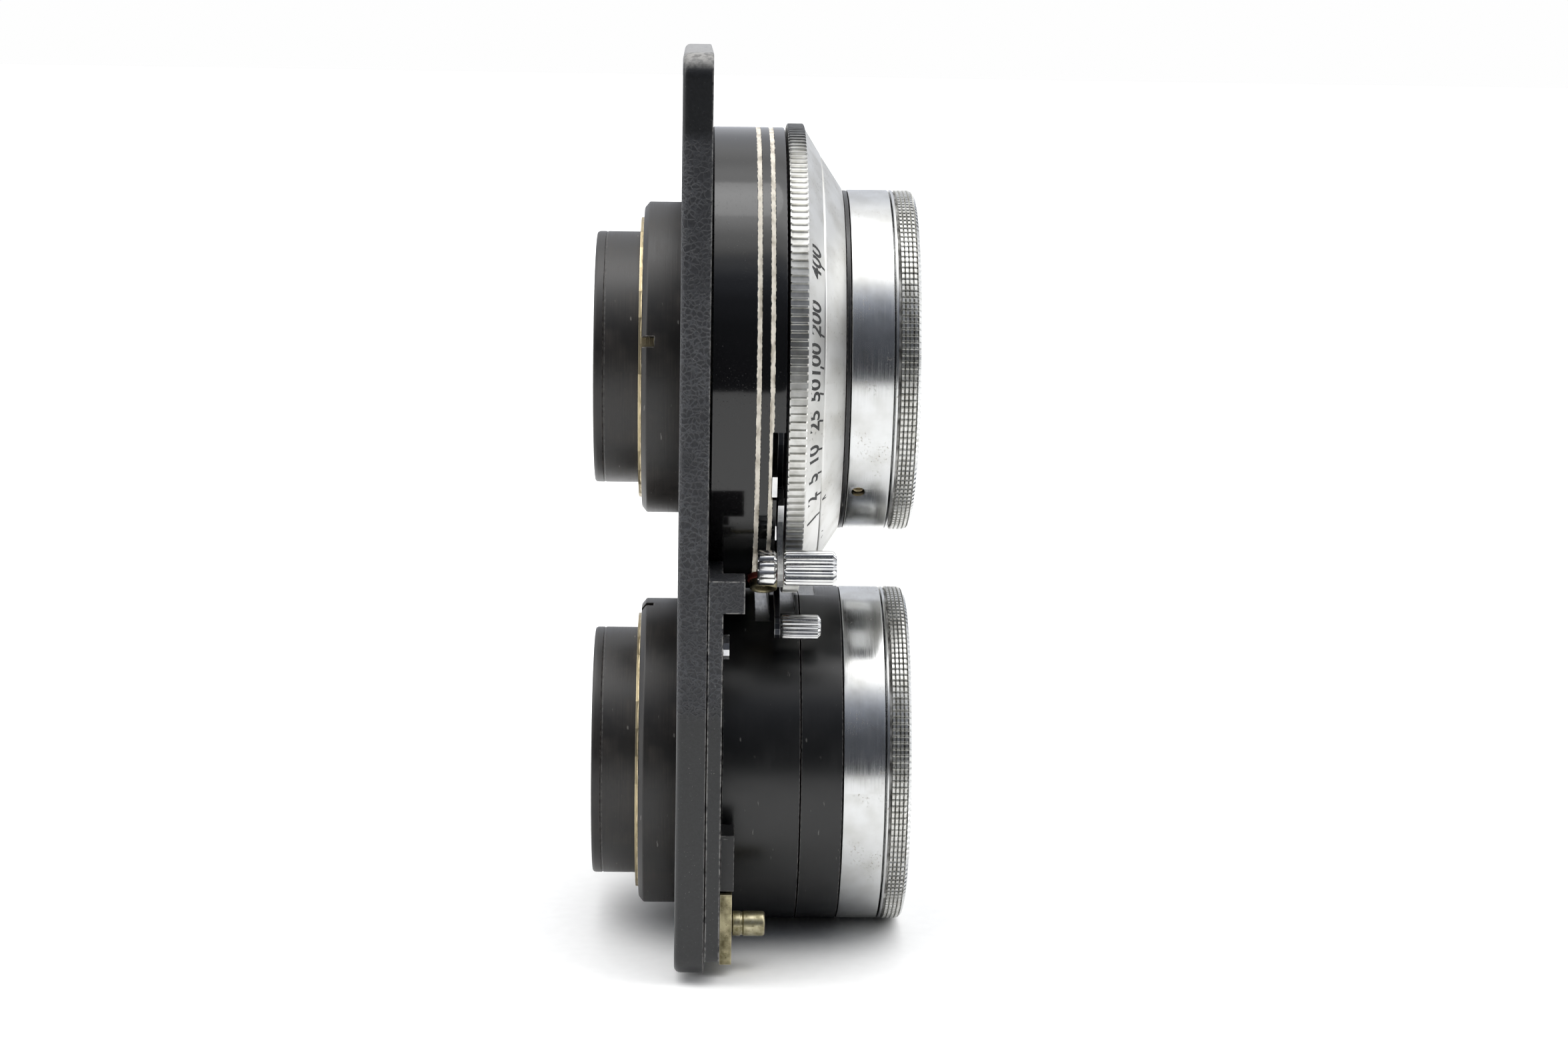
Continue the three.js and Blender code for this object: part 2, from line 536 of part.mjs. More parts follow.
function buildLevers() {
  const ringBore = hubRadius + slide;
  const knobReach = speedRingRadius + slide + 0.6 + cockingKnobRadius;
  const [knobY, knobZ] = clock(cockingAngle, knobReach);
  let lever = tube(leverBack, leverFront, ringBore, ringBore + 3.2);
  const arm = knobReach + cockingKnobRadius - 0.2;
  lever = lever.add(sector(ringBore + 1, arm, cockingAngle - 2.2, cockingAngle + 2.2, leverBack, leverFront));
  const [tailFrom, tailTo] = [cockingAngle - 3.5, cockingAngle + 12.5];
  lever = lever.add(sector(caseRadius - 3.5, caseRadius - 0.4, tailFrom, tailTo, leverBack, leverFront));
  add(taking, "cocking_lever", lever, paints.chrome);
  const base = leverFront + seat;
  const knobEnd = base + cockingKnobLength;
  const knob = turned([[base, 0], [base, cockingKnobRadius], [knobEnd - 0.5, cockingKnobRadius],
    [knobEnd, cockingKnobRadius - 0.6], [knobEnd, 0]], smallSteps);
  const knobPlace = new THREE.Matrix4().setPosition(0, knobY, knobZ);
  add(taking, "cocking_knob", knob, paints.chrome, knobPlace);
  const rearEnd = leverBack - seat;
  const rearKnob = rod(rearEnd - cockingRearKnobLength, rearEnd, cockingKnobRadius);
  add(taking, "cocking_rear_knob", rearKnob, paints.chrome, knobPlace);

  const [pivotY, pivotZ] = clock(releasePivotAngle, releasePivotReach);
  const [endY, endZ] = clock(releaseAngle, releaseReach);
  const arc = new THREE.Vector2(endY - pivotY, endZ - pivotZ);
  const side = new THREE.Vector2(-arc.y, arc.x).normalize().multiplyScalar(1.2);
  const bar = polygon([[pivotY - side.x, pivotZ - side.y], [endY - side.x, endZ - side.y],
    [endY + side.x, endZ + side.y], [pivotY + side.x, pivotZ + side.y]]);
  let release = slab(bar, leverBack, leverFront);
  release = release.add(shift(rod(leverBack, leverFront, 1.6), pivotY, pivotZ));
  release = release.add(shift(rod(leverBack, leverFront, releaseKnobRadius - 0.1), endY, endZ));
  release = release.subtract(shift(rod(leverBack - 1, leverFront + 1, 0.6 + slide, 10), pivotY, pivotZ));
  add(taking, "release_lever", release, paints.steel);
  const releaseEnd = base + releaseKnobLength;
  const button = turned([[base, 0], [base, releaseKnobRadius], [releaseEnd - 0.4, releaseKnobRadius],
    [releaseEnd, releaseKnobRadius - 0.5], [releaseEnd, 0]], smallSteps);
  add(taking, "release_knob", button, paints.chrome, new THREE.Matrix4().setPosition(0, endY, endZ));

  const [selectorFrom, selectorTo] = [selectorAngle - 2.8, selectorAngle + 2.8];
  const selector = sector(caseRadius - 4.5, caseRadius + 0.2, selectorFrom, selectorTo, selectorBack,
    leverBack - 0.2);
  add(taking, "sync_selector", selector, paints.chrome);
}

// The cocking spring: a round wire bent nearly once round the hub.
function buildCockingSpring() {
  const coil = new THREE.Curve();
  const turns = 0.9;
  const wireRadius = 0.18;
  const back = plateFront + 0.12 + wireRadius;
  const rise = leverBack - 0.15 - wireRadius - back;
  coil.getPoint = (t) => {
    const turn = t * turns * 2 * Math.PI;
    const reach = hubRadius + 1;
    return new THREE.Vector3(back + t * rise, -reach * Math.cos(turn), reach * Math.sin(turn));
  };
  const wire = new THREE.Shape();
  wire.absarc(0, 0, wireRadius, 0, 2 * Math.PI);
  const settings = { steps: 24, extrudePath: coil, curveSegments: 3, bevelEnabled: false };
  add(taking, "cocking_spring", toSolid(new THREE.ExtrudeGeometry(wire, settings)), paints.steel);
}

// ---- Slow-speed gear train ----

const retardBack = plateFront + 0.2;
const retardFront = retardBack + 0.6;
const retardReach = caseBore - 3.7;
const retardPivots = {
  sector: { angle: 60, reach: retardReach },
  gear: { angle: 82, reach: retardReach },
  pallet: { angle: 97, reach: retardReach },
};

// A flat toothed piece: teeth on the arc of one radius between two angles.
function toothed(radius, tooth, count, from, to, y, z) {
  const outline = [];
  for (let i = 0; i < count; i++) {
    for (const [share, height] of [[0.1, 0], [0.35, tooth], [0.6, tooth], [0.85, 0]]) {
      outline.push(clock(from + ((to - from) * (i + share)) / count, radius + height));
    }
  }
  if (to - from < 360) outline.push(clock(to + 12, 1.2), clock(to + 90, 1.2), clock(from - 12, 1.2));
  return shift(slab(polygon(outline), retardBack, retardFront), y, z);
}

function buildRetard() {
  const bore = (y, z) => shift(rod(retardBack - 1, retardFront + 1, 0.4 + slide, 8), y, z);
  const place = ({ angle, reach }) => clock(angle, reach);
  const [sectorY, sectorZ] = place(retardPivots.sector);
  const [gearY, gearZ] = place(retardPivots.gear);
  const [palletY, palletZ] = place(retardPivots.pallet);
  const between = Math.hypot(gearY - sectorY, gearZ - sectorZ);
  const gearRadius = 1.9;
  const tooth = 0.45;
  const sectorRadius = between - gearRadius - 2 * tooth - slide;
  const facing = THREE.MathUtils.radToDeg(Math.atan2(gearZ - sectorZ, sectorY - gearY));
  const rack = toothed(sectorRadius, tooth, 6, facing - 22, facing + 22, sectorY, sectorZ);
  add(taking, "retard_sector", rack.subtract(bore(sectorY, sectorZ)), paints.brass);
  const gear = toothed(gearRadius, tooth, 10, 0, 360, gearY, gearZ);
  add(taking, "retard_gear", gear.subtract(bore(gearY, gearZ)), paints.brass);
  const anchor = polygon([[-1.6, -1.5], [-0.9, -1.8], [-0.2, -0.9], [1, -1], [1.8, -2], [2.2, -1.2],
    [1.2, 1.1], [-1, 1.1]]);
  const pallet = shift(slab(anchor, retardBack, retardFront), palletY, palletZ);
  add(taking, "retard_pallet", pallet.subtract(bore(palletY, palletZ)), paints.steel);
}

// ---- Flash socket: made along +X, then stood on its clock angle ----

function buildFlashSocket() {
  const place = radialPlace(socketAngle, socketX);
  const inner = caseBore - seat;
  const floor = inner + 0.5;
  const outer = caseRadius + socketReach;
  const bore = socketRadius - 0.4;
  add(taking, "flash_socket", tube(floor + seat, outer, bore, socketRadius, 16), paints.brass, place);
  const bush = turned([[inner, 0.5], [inner, bushRadius], [caseRadius + 0.5, bushRadius],
    [caseRadius + 0.5, socketRadius + seat], [floor, socketRadius + seat], [floor, 0.5]], 16);
  add(taking, "flash_insulator", bush, paints.fibre, place);
  add(taking, "flash_contact_pin", rod(inner, outer - 0.3, 0.4, 10), paints.brass, place);
}

// ---- Viewing lens ----

function buildViewingLens() {
  const back = coverFront + seat;
  const rearInner = neckBore + 0.4;
  let rear = turned([[back, neckRadius + slide], [back, frontRadius], [viewingJoint - seat, frontRadius],
    [viewingJoint - seat, frontTubeRadius + slide], [back + 1.5, rearInner],
    [back + 1.5, neckRadius + slide]]);
  for (const [flatBack, flatFront, depth] of leverFlats) {
    const [x0, x1] = [caseFront + flatBack, caseFront + flatFront];
    const flat = box(x0, x1, -frontRadius, frontRadius, frontRadius - depth, frontRadius + 1);
    rear = rear.subtract(flat);
  }
  const pathRadius = speedRingRadius + slide + seat;
  const ringPath = shift(rod(leverBack - slide, viewingJoint + 2, pathRadius, roundSteps), 0, lensSpacing);
  rear = rear.subtract(ringPath);
  add(viewing, "viewing_rear_barrel", rear, paints.satinBlack);
  const middle = tube(viewingJoint, bandBack - seat, frontTubeRadius + slide, frontRadius).subtract(ringPath);
  add(viewing, "viewing_middle_barrel", middle, paints.satinBlack);
  add(viewing, "viewing_mount_tube", turned([[-neckReach, neckBore], [-neckReach, neckRadius],
    [back + 1.4, neckRadius], [back + 1.4, neckBore]]), paints.brass);
}

buildBoard();
buildLocator();
for (const [parent, name, tubeBack] of
  [[taking, "taking", plateFront + 1.2], [viewing, "viewing", viewingTubeBack]]) {
  buildRearCell(parent, name);
  buildFrontCell(parent, name, tubeBack);
}
buildShutterBody();
buildBlades();
buildSpeedControls();
buildLevers();
buildCockingSpring();
buildRetard();
buildFlashSocket();
buildViewingLens();

export default group;
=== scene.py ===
import math
import bmesh
import bpy
from mathutils import Matrix, Vector


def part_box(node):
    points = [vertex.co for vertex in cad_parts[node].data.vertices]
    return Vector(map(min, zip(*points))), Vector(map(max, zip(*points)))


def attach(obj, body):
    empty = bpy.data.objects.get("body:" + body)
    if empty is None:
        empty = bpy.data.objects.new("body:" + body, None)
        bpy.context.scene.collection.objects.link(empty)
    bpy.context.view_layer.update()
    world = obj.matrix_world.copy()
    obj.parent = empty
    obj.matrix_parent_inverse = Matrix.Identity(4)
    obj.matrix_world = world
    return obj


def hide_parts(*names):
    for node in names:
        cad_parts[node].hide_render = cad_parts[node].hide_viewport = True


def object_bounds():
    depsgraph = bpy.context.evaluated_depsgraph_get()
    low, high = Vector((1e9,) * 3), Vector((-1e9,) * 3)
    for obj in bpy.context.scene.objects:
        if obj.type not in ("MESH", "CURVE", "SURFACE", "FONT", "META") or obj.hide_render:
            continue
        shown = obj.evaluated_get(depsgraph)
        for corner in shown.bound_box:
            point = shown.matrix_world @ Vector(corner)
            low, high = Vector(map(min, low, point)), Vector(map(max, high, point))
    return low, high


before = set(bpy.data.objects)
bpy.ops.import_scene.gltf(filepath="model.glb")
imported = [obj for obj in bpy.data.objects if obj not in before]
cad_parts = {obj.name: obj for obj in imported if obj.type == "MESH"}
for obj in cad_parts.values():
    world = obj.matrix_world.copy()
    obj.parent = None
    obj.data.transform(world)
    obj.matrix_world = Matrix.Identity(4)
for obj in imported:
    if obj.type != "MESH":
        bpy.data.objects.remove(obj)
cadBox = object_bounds()

mm = 0.001
lensNames = ["taking", "viewing"]


# ---- Places, all from the frame, in millimetres ----

def span(node):  # back, front and outer radius of a round piece
    low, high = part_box(node)
    return low.x / mm, high.x / mm, (high.y - low.y) / 2 / mm


spans = {node: span(node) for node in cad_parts}


def middle(node):
    low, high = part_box(node)
    return (low + high) / 2 / mm


axisHeight = {name: middle(f"{name}_front_ring").z for name in lensNames}


# A point at a clock angle round a lens axis: 0 is towards -Y, 90 is up.
def clockPoint(angle, reach, x, height):
    turn = math.radians(angle)
    return Vector((x, -reach * math.cos(turn), height + reach * math.sin(turn))) * mm


# ---- Shader building ----

def toLinear(hexColour):
    channels = [int(hexColour[i:i + 2], 16) / 255 for i in (1, 3, 5)]
    return [c / 12.92 if c <= 0.04045 else ((c + 0.055) / 1.055) ** 2.4 for c in channels] + [1.0]


# Adds a node and gives one of its outputs. A setting is a property of the node, a value
# for one of its inputs, or an output of another node to join to that input.
def addNode(tree, kind, settings=None, output=0):
    node = tree.nodes.new("ShaderNode" + kind)
    for key, value in (settings or {}).items():
        if isinstance(value, bpy.types.NodeSocket):
            tree.links.new(value, node.inputs[key])
        elif isinstance(key, str) and hasattr(node, key):
            setattr(node, key, value)
        else:
            node.inputs[key].default_value = value
    return node.outputs[output] if node.outputs else node


def newMaterial(name, base, metallic, roughness, settings=None):
    material = bpy.data.materials.new(name)
    material.use_nodes = True
    tree = material.node_tree
    tree.nodes.clear()
    surface = {"Base Color": toLinear(base), "Metallic": metallic, "Roughness": roughness}
    shader = addNode(tree, "BsdfPrincipled", {**surface, **(settings or {})})
    addNode(tree, "OutputMaterial", {"Surface": shader})
    return material, tree, shader.node


def joinTo(tree, shader, sources):
    for key, source in sources.items():
        tree.links.new(source, shader.inputs[key])


# Millimetres along the surface: round pieces carry them in a map (round, along),
# and the others use their own place in the object.
def placeOn(tree, turned):
    if turned:
        return addNode(tree, "UVMap", {"uv_map": "surfaceMm"})
    where = addNode(tree, "TexCoord", output="Object")
    return addNode(tree, "VectorMath", {"operation": "SCALE", 0: where, "Scale": 1 / mm})


# Patches of noise, size mm across: 0 where the noise is below low, 1 above high.
def patches(tree, where, size, low, high, detail=3.0, stretch=(1, 1, 1), offset=0.0):
    shift = (offset,) * 3
    scaled = addNode(tree, "Mapping", {"Vector": where, "Scale": stretch, "Location": shift})
    noise = addNode(tree, "TexNoise", {"Vector": scaled, "Scale": 1 / size, "Detail": detail})
    return addNode(tree, "MapRange", {"Value": noise, "From Min": low, "From Max": high})


# Lays one colour over another through a mask, as far as share.
def coat(tree, mask, under, over, share=1.0):
    colours = [toLinear(c) if isinstance(c, str) else c for c in (under, over)]
    amount = addNode(tree, "Math", {"operation": "MULTIPLY", 0: mask, 1: share})
    return addNode(tree, "Mix", {"data_type": "RGBA", 0: amount, 6: colours[0], 7: colours[1]}, 2)


# 1 along edges, where plating and paint wear through, and 0 elsewhere.
def edgeWear(tree, reach=0.2):
    rounded = addNode(tree, "Bevel", {"samples": 6, "Radius": reach * mm})
    straight = addNode(tree, "NewGeometry", output="Normal")
    match = addNode(tree, "VectorMath", {"operation": "DOT_PRODUCT", 0: rounded, 1: straight}, "Value")
    return addNode(tree, "MapRange", {"Value": match, "From Min": 0.985, "From Max": 0.86})


print("Frame loaded:", len(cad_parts), "nodes")


# ---- Materials ----

# Satin chromium plate on bead-blasted brass: pale and milky, speckled with old handling stains.
def makeSatinChrome():
    look = {"grain": 0.16, "stain": 0.55, "cloud": 5.0, "drag": 0.5, "relief": 0.004}
    material, tree, shader = newMaterial("satinChromePlate", "#c6c6c4", 1.0, 0.44)
    where = placeOn(tree, True)
    stain = patches(tree, where, look["stain"], 0.60, 0.72, 5.0)
    cloud = patches(tree, where, look["cloud"], 0.42, 0.66)
    stained = addNode(tree, "Math", {"operation": "MULTIPLY", 0: stain, 1: cloud})
    colour = coat(tree, cloud, "#cfcfcd", "#bdbcb8")
    colour = coat(tree, stained, colour, "#85837d", 0.7)
    drag = patches(tree, where, look["drag"], 0.66, 0.72, 4.0, (0.16, 1.4, 1))
    colour = coat(tree, drag, colour, "#a2a19d", 0.35)
    grain = patches(tree, where, look["grain"], 0.3, 0.7, 2.0)
    rough = addNode(tree, "MapRange", {"Value": stained, "To Min": 0.42, "To Max": 0.6})
    bump = addNode(tree, "Bump", {"Height": grain, "Distance": look["relief"] * mm})
    joinTo(tree, shader, {"Base Color": colour, "Roughness": rough, "Normal": bump})
    return material


# Polished chromium plate on a turned band: fine lathe lines round it and a tarnished patch.
def makeBandChrome():
    look = {"line": 0.11, "haze": 3.0, "tarnish": 7.0, "fleck": 0.35, "relief": 0.0012}
    material, tree, shader = newMaterial("turnedChromePlate", "#c4c5c5", 1.0, 0.2)
    where = placeOn(tree, True)
    line = patches(tree, where, look["line"], 0.3, 0.7, 2.0, (0.02, 1, 1))
    haze = patches(tree, where, look["haze"], 0.4, 0.7, 4.0)
    patch = patches(tree, where, look["tarnish"], 0.54, 0.66, 6.0)
    fleck = patches(tree, where, look["fleck"], 0.56, 0.66, 4.0)
    tarnish = addNode(tree, "Math", {"operation": "MULTIPLY", 0: patch, 1: fleck})
    colour = coat(tree, haze, "#cacbcb", "#bbbbb9")
    colour = coat(tree, tarnish, colour, "#817b6b", 0.75)
    brushed = addNode(tree, "MapRange", {"Value": line, "To Min": 0.15, "To Max": 0.25})
    dulled = addNode(tree, "MapRange", {"Value": tarnish, "To Min": 0.0, "To Max": 0.25})
    rough = addNode(tree, "Math", {"operation": "ADD", 0: brushed, 1: dulled})
    bump = addNode(tree, "Bump", {"Height": line, "Distance": look["relief"] * mm})
    joinTo(tree, shader, {"Base Color": colour, "Roughness": rough, "Normal": bump})
    return material


# Chromium plate on knurled and serrated brass: bright crests, with the grooves painted near black as shade,
# more deeply in grimy patches.
def makeKnurlChrome():
    look = {"grimeAndShade": 1.6}
    material, tree, shader = newMaterial("knurledChromePlate", "#c2c2c0", 1.0, 0.3)
    where = placeOn(tree, True)
    grimeAndShade = patches(tree, where, look["grimeAndShade"], 0.35, 0.7, 4.0)
    # painted shade: vertices in the hollow grooves are painted near black, more strongly where the grimy
    # patches lie
    hollow = addNode(tree, "NewGeometry", output="Pointiness")
    groove = addNode(tree, "MapRange", {"Value": hollow, "From Min": 0.5, "From Max": 0.44})
    thick = addNode(tree, "MapRange", {"Value": grimeAndShade, "To Min": 0.45, "To Max": 1.0})
    paintedGrooveShade = addNode(tree, "Math", {"operation": "MULTIPLY", 0: groove, 1: thick})
    colour = coat(tree, grimeAndShade, "#c9c9c6", "#adaca7")
    # the painted shade in the grooves
    colour = coat(tree, paintedGrooveShade, colour, "#2b2a28", 0.9)
    rough = addNode(tree, "MapRange", {"Value": paintedGrooveShade, "To Min": 0.28, "To Max": 0.6})
    joinTo(tree, shader, {"Base Color": colour, "Roughness": rough})
    return material


# Gloss black enamel, sprayed on the shutter case: it mirrors the room and gathers dust.
# Two grooves in it are filled by brush with cream paint, so their edges wander.
def makeCaseEnamel(grooves):
    look = {"dust": 0.12, "chip": 0.45, "wander": 0.07, "ripple": 2.2, "speck": 0.22}
    material, tree, shader = newMaterial("glossBlackEnamel", "#0b0b0c", 0.0, 0.09)
    inObject = addNode(tree, "TexCoord", output="Object")
    along = addNode(tree, "SeparateXYZ", {0: inObject})
    along = addNode(tree, "Math", {"operation": "MULTIPLY", 0: along, 1: 1 / mm})
    where = placeOn(tree, True)
    ragged = patches(tree, where, look["chip"], 0.25, 0.75, 6.0)
    wander = addNode(tree, "MapRange", {"Value": ragged, "To Min": -look["wander"], "To Max": look["wander"]})
    along = addNode(tree, "Math", {"operation": "ADD", 0: along, 1: wander})
    paint = 0.0
    for back, front in grooves:
        offset = addNode(tree, "Math", {"operation": "SUBTRACT", 0: along, 1: (back + front) / 2})
        offset = addNode(tree, "Math", {"operation": "ABSOLUTE", 0: offset})
        edge = (front - back) / 2
        inside = addNode(tree, "MapRange", {"Value": offset, "From Min": edge + 0.01,
                                            "From Max": edge - 0.02})
        paint = addNode(tree, "Math", {"operation": "MAXIMUM", 0: paint, 1: inside})
    soil = patches(tree, where, 0.9, 0.44, 0.7, 6.0, (0.5, 1, 1))
    cream = coat(tree, soil, "#e6dfd1", "#9f9685")
    dust = patches(tree, where, look["dust"], 0.71, 0.76, 2.0)
    drift = patches(tree, where, 9.0, 0.44, 0.62)
    dusty = addNode(tree, "Math", {"operation": "MULTIPLY", 0: dust, 1: drift})
    black = coat(tree, dusty, "#0a0a0b", "#8f8c86", 0.8)
    colour = coat(tree, paint, black, cream)
    matt = addNode(tree, "MapRange", {"Value": paint, "To Min": 0.09, "To Max": 0.55})
    dull = addNode(tree, "MapRange", {"Value": dusty, "To Min": 0.0, "To Max": 0.7})
    rough = addNode(tree, "Math", {"operation": "MAXIMUM", 0: matt, 1: dull})
    ripple = patches(tree, where, look["ripple"], 0.2, 0.8, 2.0)
    speck = patches(tree, where, look["speck"], 0.66, 0.74, 2.0)
    bump = addNode(tree, "Bump", {"Height": ripple, "Distance": 0.004 * mm})
    bump = addNode(tree, "Bump", {"Height": speck, "Distance": 0.006 * mm, "Normal": bump})
    joinTo(tree, shader, {"Base Color": colour, "Roughness": rough, "Normal": bump})
    return material


# Satin black on turned brass, sprayed or chemical: faint lathe lines in a soft shine,
# edges rubbed to the metal.
def makeSatinBlack(name, dark, light, worn, roughness, turned=True, rub=0.7, lines=0.0006):
    look = {"line": 0.2, "cloud": 4.0, "scuff": 0.7, "chip": 0.5}
    material, tree, shader = newMaterial(name, dark, 0.0, roughness)
    where = placeOn(tree, turned)
    line = patches(tree, where, look["line"], 0.3, 0.7, 3.0, (0.03, 1, 1) if turned else (1, 1, 1))
    cloud = patches(tree, where, look["cloud"], 0.4, 0.7, 5.0)
    streak = addNode(tree, "Math", {"operation": "MULTIPLY", 0: line, 1: cloud})
    colour = coat(tree, streak, dark, light)
    scuff = patches(tree, where, look["scuff"], 0.69, 0.74, 4.0, (0.35, 1.2, 1), 7.0)
    colour = coat(tree, scuff, colour, worn, 0.35)
    ragged = patches(tree, where, look["chip"], 0.4, 0.6, 4.0)
    wear = addNode(tree, "Math", {"operation": "MULTIPLY", 0: edgeWear(tree), 1: ragged})
    colour = coat(tree, wear, colour, worn, rub)
    rough = addNode(tree, "MapRange", {"Value": streak, "To Min": roughness, "To Max": roughness + 0.14})
    bump = addNode(tree, "Bump", {"Height": line, "Distance": lines * mm})
    joinTo(tree, shader, {"Base Color": colour, "Roughness": rough, "Normal": bump})
    return material


# Black wrinkle enamel, stove-dried on the cast board: a web of fine ridges in the middle
# of the board that fades to plain satin enamel at both ends, with the top end rubbed grey.
# The crinkled middle is painted lighter where the light falls on it, and the plain ends
# darker as painted shade; the edges are lightened for wear and as a painted highlight.
def makeWrinkleEnamel(zone, top):
    look = {"cell": 0.62, "ridge": 0.09, "warp": 1.1, "grain": 0.3, "dust": 0.14}
    material, tree, shader = newMaterial("wrinkleBlackEnamel", "#232427", 0.0, 0.42)
    where = placeOn(tree, False)
    drift = addNode(tree, "TexNoise", {"Vector": where, "Scale": 0.8, "Detail": 3.0}, "Color")
    warp = (look["warp"],) * 3
    warped = addNode(tree, "VectorMath", {"operation": "MULTIPLY_ADD", 0: drift, 1: warp, 2: where})
    web = addNode(tree, "TexVoronoi", {"feature": "DISTANCE_TO_EDGE", "Vector": warped,
                                       "Scale": 1 / look["cell"]}, "Distance")
    ridge = addNode(tree, "MapRange", {"Value": web, "From Min": 0.17, "From Max": 0.0})
    height = addNode(tree, "SeparateXYZ", {0: where}, 2)
    low, high = zone
    below = addNode(tree, "MapRange", {"Value": height, "From Min": low - 1, "From Max": low + 1})
    above = addNode(tree, "MapRange", {"Value": height, "From Min": high + 1, "From Max": high - 1})
    inLitCrinkledZone = addNode(tree, "Math", {"operation": "MULTIPLY", 0: below, 1: above})
    patchy = addNode(tree, "MapRange", {"Value": patches(tree, where, 5.0, 0.35, 0.6), "To Min": 0.3})
    raised = addNode(tree, "Math", {"operation": "MULTIPLY", 0: inLitCrinkledZone, 1: patchy})
    ridge = addNode(tree, "Math", {"operation": "MULTIPLY", 0: ridge, 1: raised})
    grain = patches(tree, where, look["grain"], 0.3, 0.7)
    # painted light and shade: the plain enamel (smooth) is painted darker as shade, and the crinkled zone
    # lighter where the light falls
    smooth, litCrinkled = coat(tree, grain, "#101112", "#18191b"), coat(tree, grain, "#17181b", "#222327")
    colour = coat(tree, inLitCrinkledZone, smooth, litCrinkled)
    colour = coat(tree, ridge, colour, "#4c4e53", 0.5)
    ragged = patches(tree, where, 0.6, 0.38, 0.56, 5.0)
    end = addNode(tree, "MapRange", {"Value": height, "From Min": top - 1.9, "From Max": top - 0.4})
    broken = addNode(tree, "MapRange", {"Value": ragged, "To Min": 0.35, "To Max": 0.9})
    end = addNode(tree, "Math", {"operation": "MULTIPLY", 0: end, 1: broken})
    # the edges are lightened both for wear and as a painted highlight on the rounded edges
    edges = addNode(tree, "Math", {"operation": "MULTIPLY", 0: edgeWear(tree, 0.35), 1: ragged})
    wear = addNode(tree, "Math", {"operation": "MAXIMUM", 0: edges, 1: end})
    colour = coat(tree, wear, colour, "#a3a19d", 0.75)
    dust = patches(tree, where, look["dust"], 0.73, 0.78, 2.0)
    colour = coat(tree, dust, colour, "#a8a59e", 0.5)
    rough = addNode(tree, "MapRange", {"Value": inLitCrinkledZone, "To Min": 0.34, "To Max": 0.48})
    bump = addNode(tree, "Bump", {"Height": grain, "Distance": 0.008 * mm})
    bump = addNode(tree, "Bump", {"Height": ridge, "Distance": look["ridge"] * mm, "Normal": bump})
    joinTo(tree, shader, {"Base Color": colour, "Roughness": rough, "Normal": bump})
    return material


# Brass, turned or rolled and left bare: warm on the rubbed crests, brown and dull elsewhere.
def makeBrass(name, bright, dull, roughness, turned):
    look = {"cloud": 1.4, "spot": 0.25, "line": 0.15, "relief": 0.002}
    material, tree, shader = newMaterial(name, bright, 1.0, roughness)
    where = placeOn(tree, turned)
    cloud = patches(tree, where, look["cloud"], 0.36, 0.66, 5.0)
    spot = patches(tree, where, look["spot"], 0.62, 0.7)
    colour = coat(tree, cloud, bright, dull)
    colour = coat(tree, spot, colour, "#3b2c1c", 0.7)
    colour = coat(tree, edgeWear(tree), colour, "#e2d8bb", 0.5)
    line = patches(tree, where, look["line"], 0.3, 0.7, 2.0, (0.05, 1, 1) if turned else (1, 1, 1))
    rough = addNode(tree, "MapRange", {"Value": cloud, "To Min": roughness, "To Max": roughness + 0.2})
    bump = addNode(tree, "Bump", {"Height": line, "Distance": look["relief"] * mm})
    joinTo(tree, shader, {"Base Color": colour, "Roughness": rough, "Normal": bump})
    return material


# Bare or plated sheet metal, ground or milled: fine straight lines, brighter on its edges.
def makeSheetMetal(name, bright, clouded, roughness):
    look = {"line": 0.12, "cloud": 2.5, "relief": 0.0015}
    material, tree, shader = newMaterial(name, bright, 1.0, roughness)
    where = placeOn(tree, False)
    line = patches(tree, where, look["line"], 0.3, 0.7, 3.0, (1, 0.08, 1))
    cloud = patches(tree, where, look["cloud"], 0.4, 0.65, 4.0)
    colour = coat(tree, cloud, bright, clouded)
    colour = coat(tree, edgeWear(tree), colour, "#d8d8d6", 0.5)
    rough = addNode(tree, "MapRange", {"Value": line, "To Min": roughness, "To Max": roughness + 0.15})
    bump = addNode(tree, "Bump", {"Height": line, "Distance": look["relief"] * mm})
    joinTo(tree, shader, {"Base Color": colour, "Roughness": rough, "Normal": bump})
    return material


# Vulcanised fibre, turned: dark red, dry and slightly fibrous.
def makeFibre():
    material, tree, shader = newMaterial("redVulcanisedFibre", "#4c1812", 0.0, 0.55)
    strand = patches(tree, placeOn(tree, True), 0.3, 0.3, 0.7, 4.0, (0.2, 1, 1))
    colour = coat(tree, strand, "#4c1812", "#6a2a1d")
    bump = addNode(tree, "Bump", {"Height": strand, "Distance": 0.006 * mm})
    joinTo(tree, shader, {"Base Color": colour, "Normal": bump})
    return material


# Optical glass with a single blue-violet coating: clear, with faint wipe marks.
def makeGlass():
    coating = {"IOR": 1.55, "Transmission Weight": 1.0, "Specular Tint": toLinear("#9fa6ff")}
    material, tree, shader = newMaterial("coatedOpticalGlass", "#f3f6f8", 0.0, 0.01, coating)
    wipe = patches(tree, placeOn(tree, True), 3.0, 0.45, 0.75, 5.0, (0.4, 1, 1))
    rough = addNode(tree, "MapRange", {"Value": wipe, "To Min": 0.005, "To Max": 0.045})
    joinTo(tree, shader, {"Roughness": rough})
    return material


# Engraver's black paint, rubbed into the numbers: matt and slightly broken.
def makeScalePaint():
    material, tree, shader = newMaterial("blackScalePaint", "#151516", 0.0, 0.6)
    broken = patches(tree, placeOn(tree, False), 0.22, 0.55, 0.72)
    joinTo(tree, shader, {"Base Color": coat(tree, broken, "#121213", "#4a4947")})
    return material


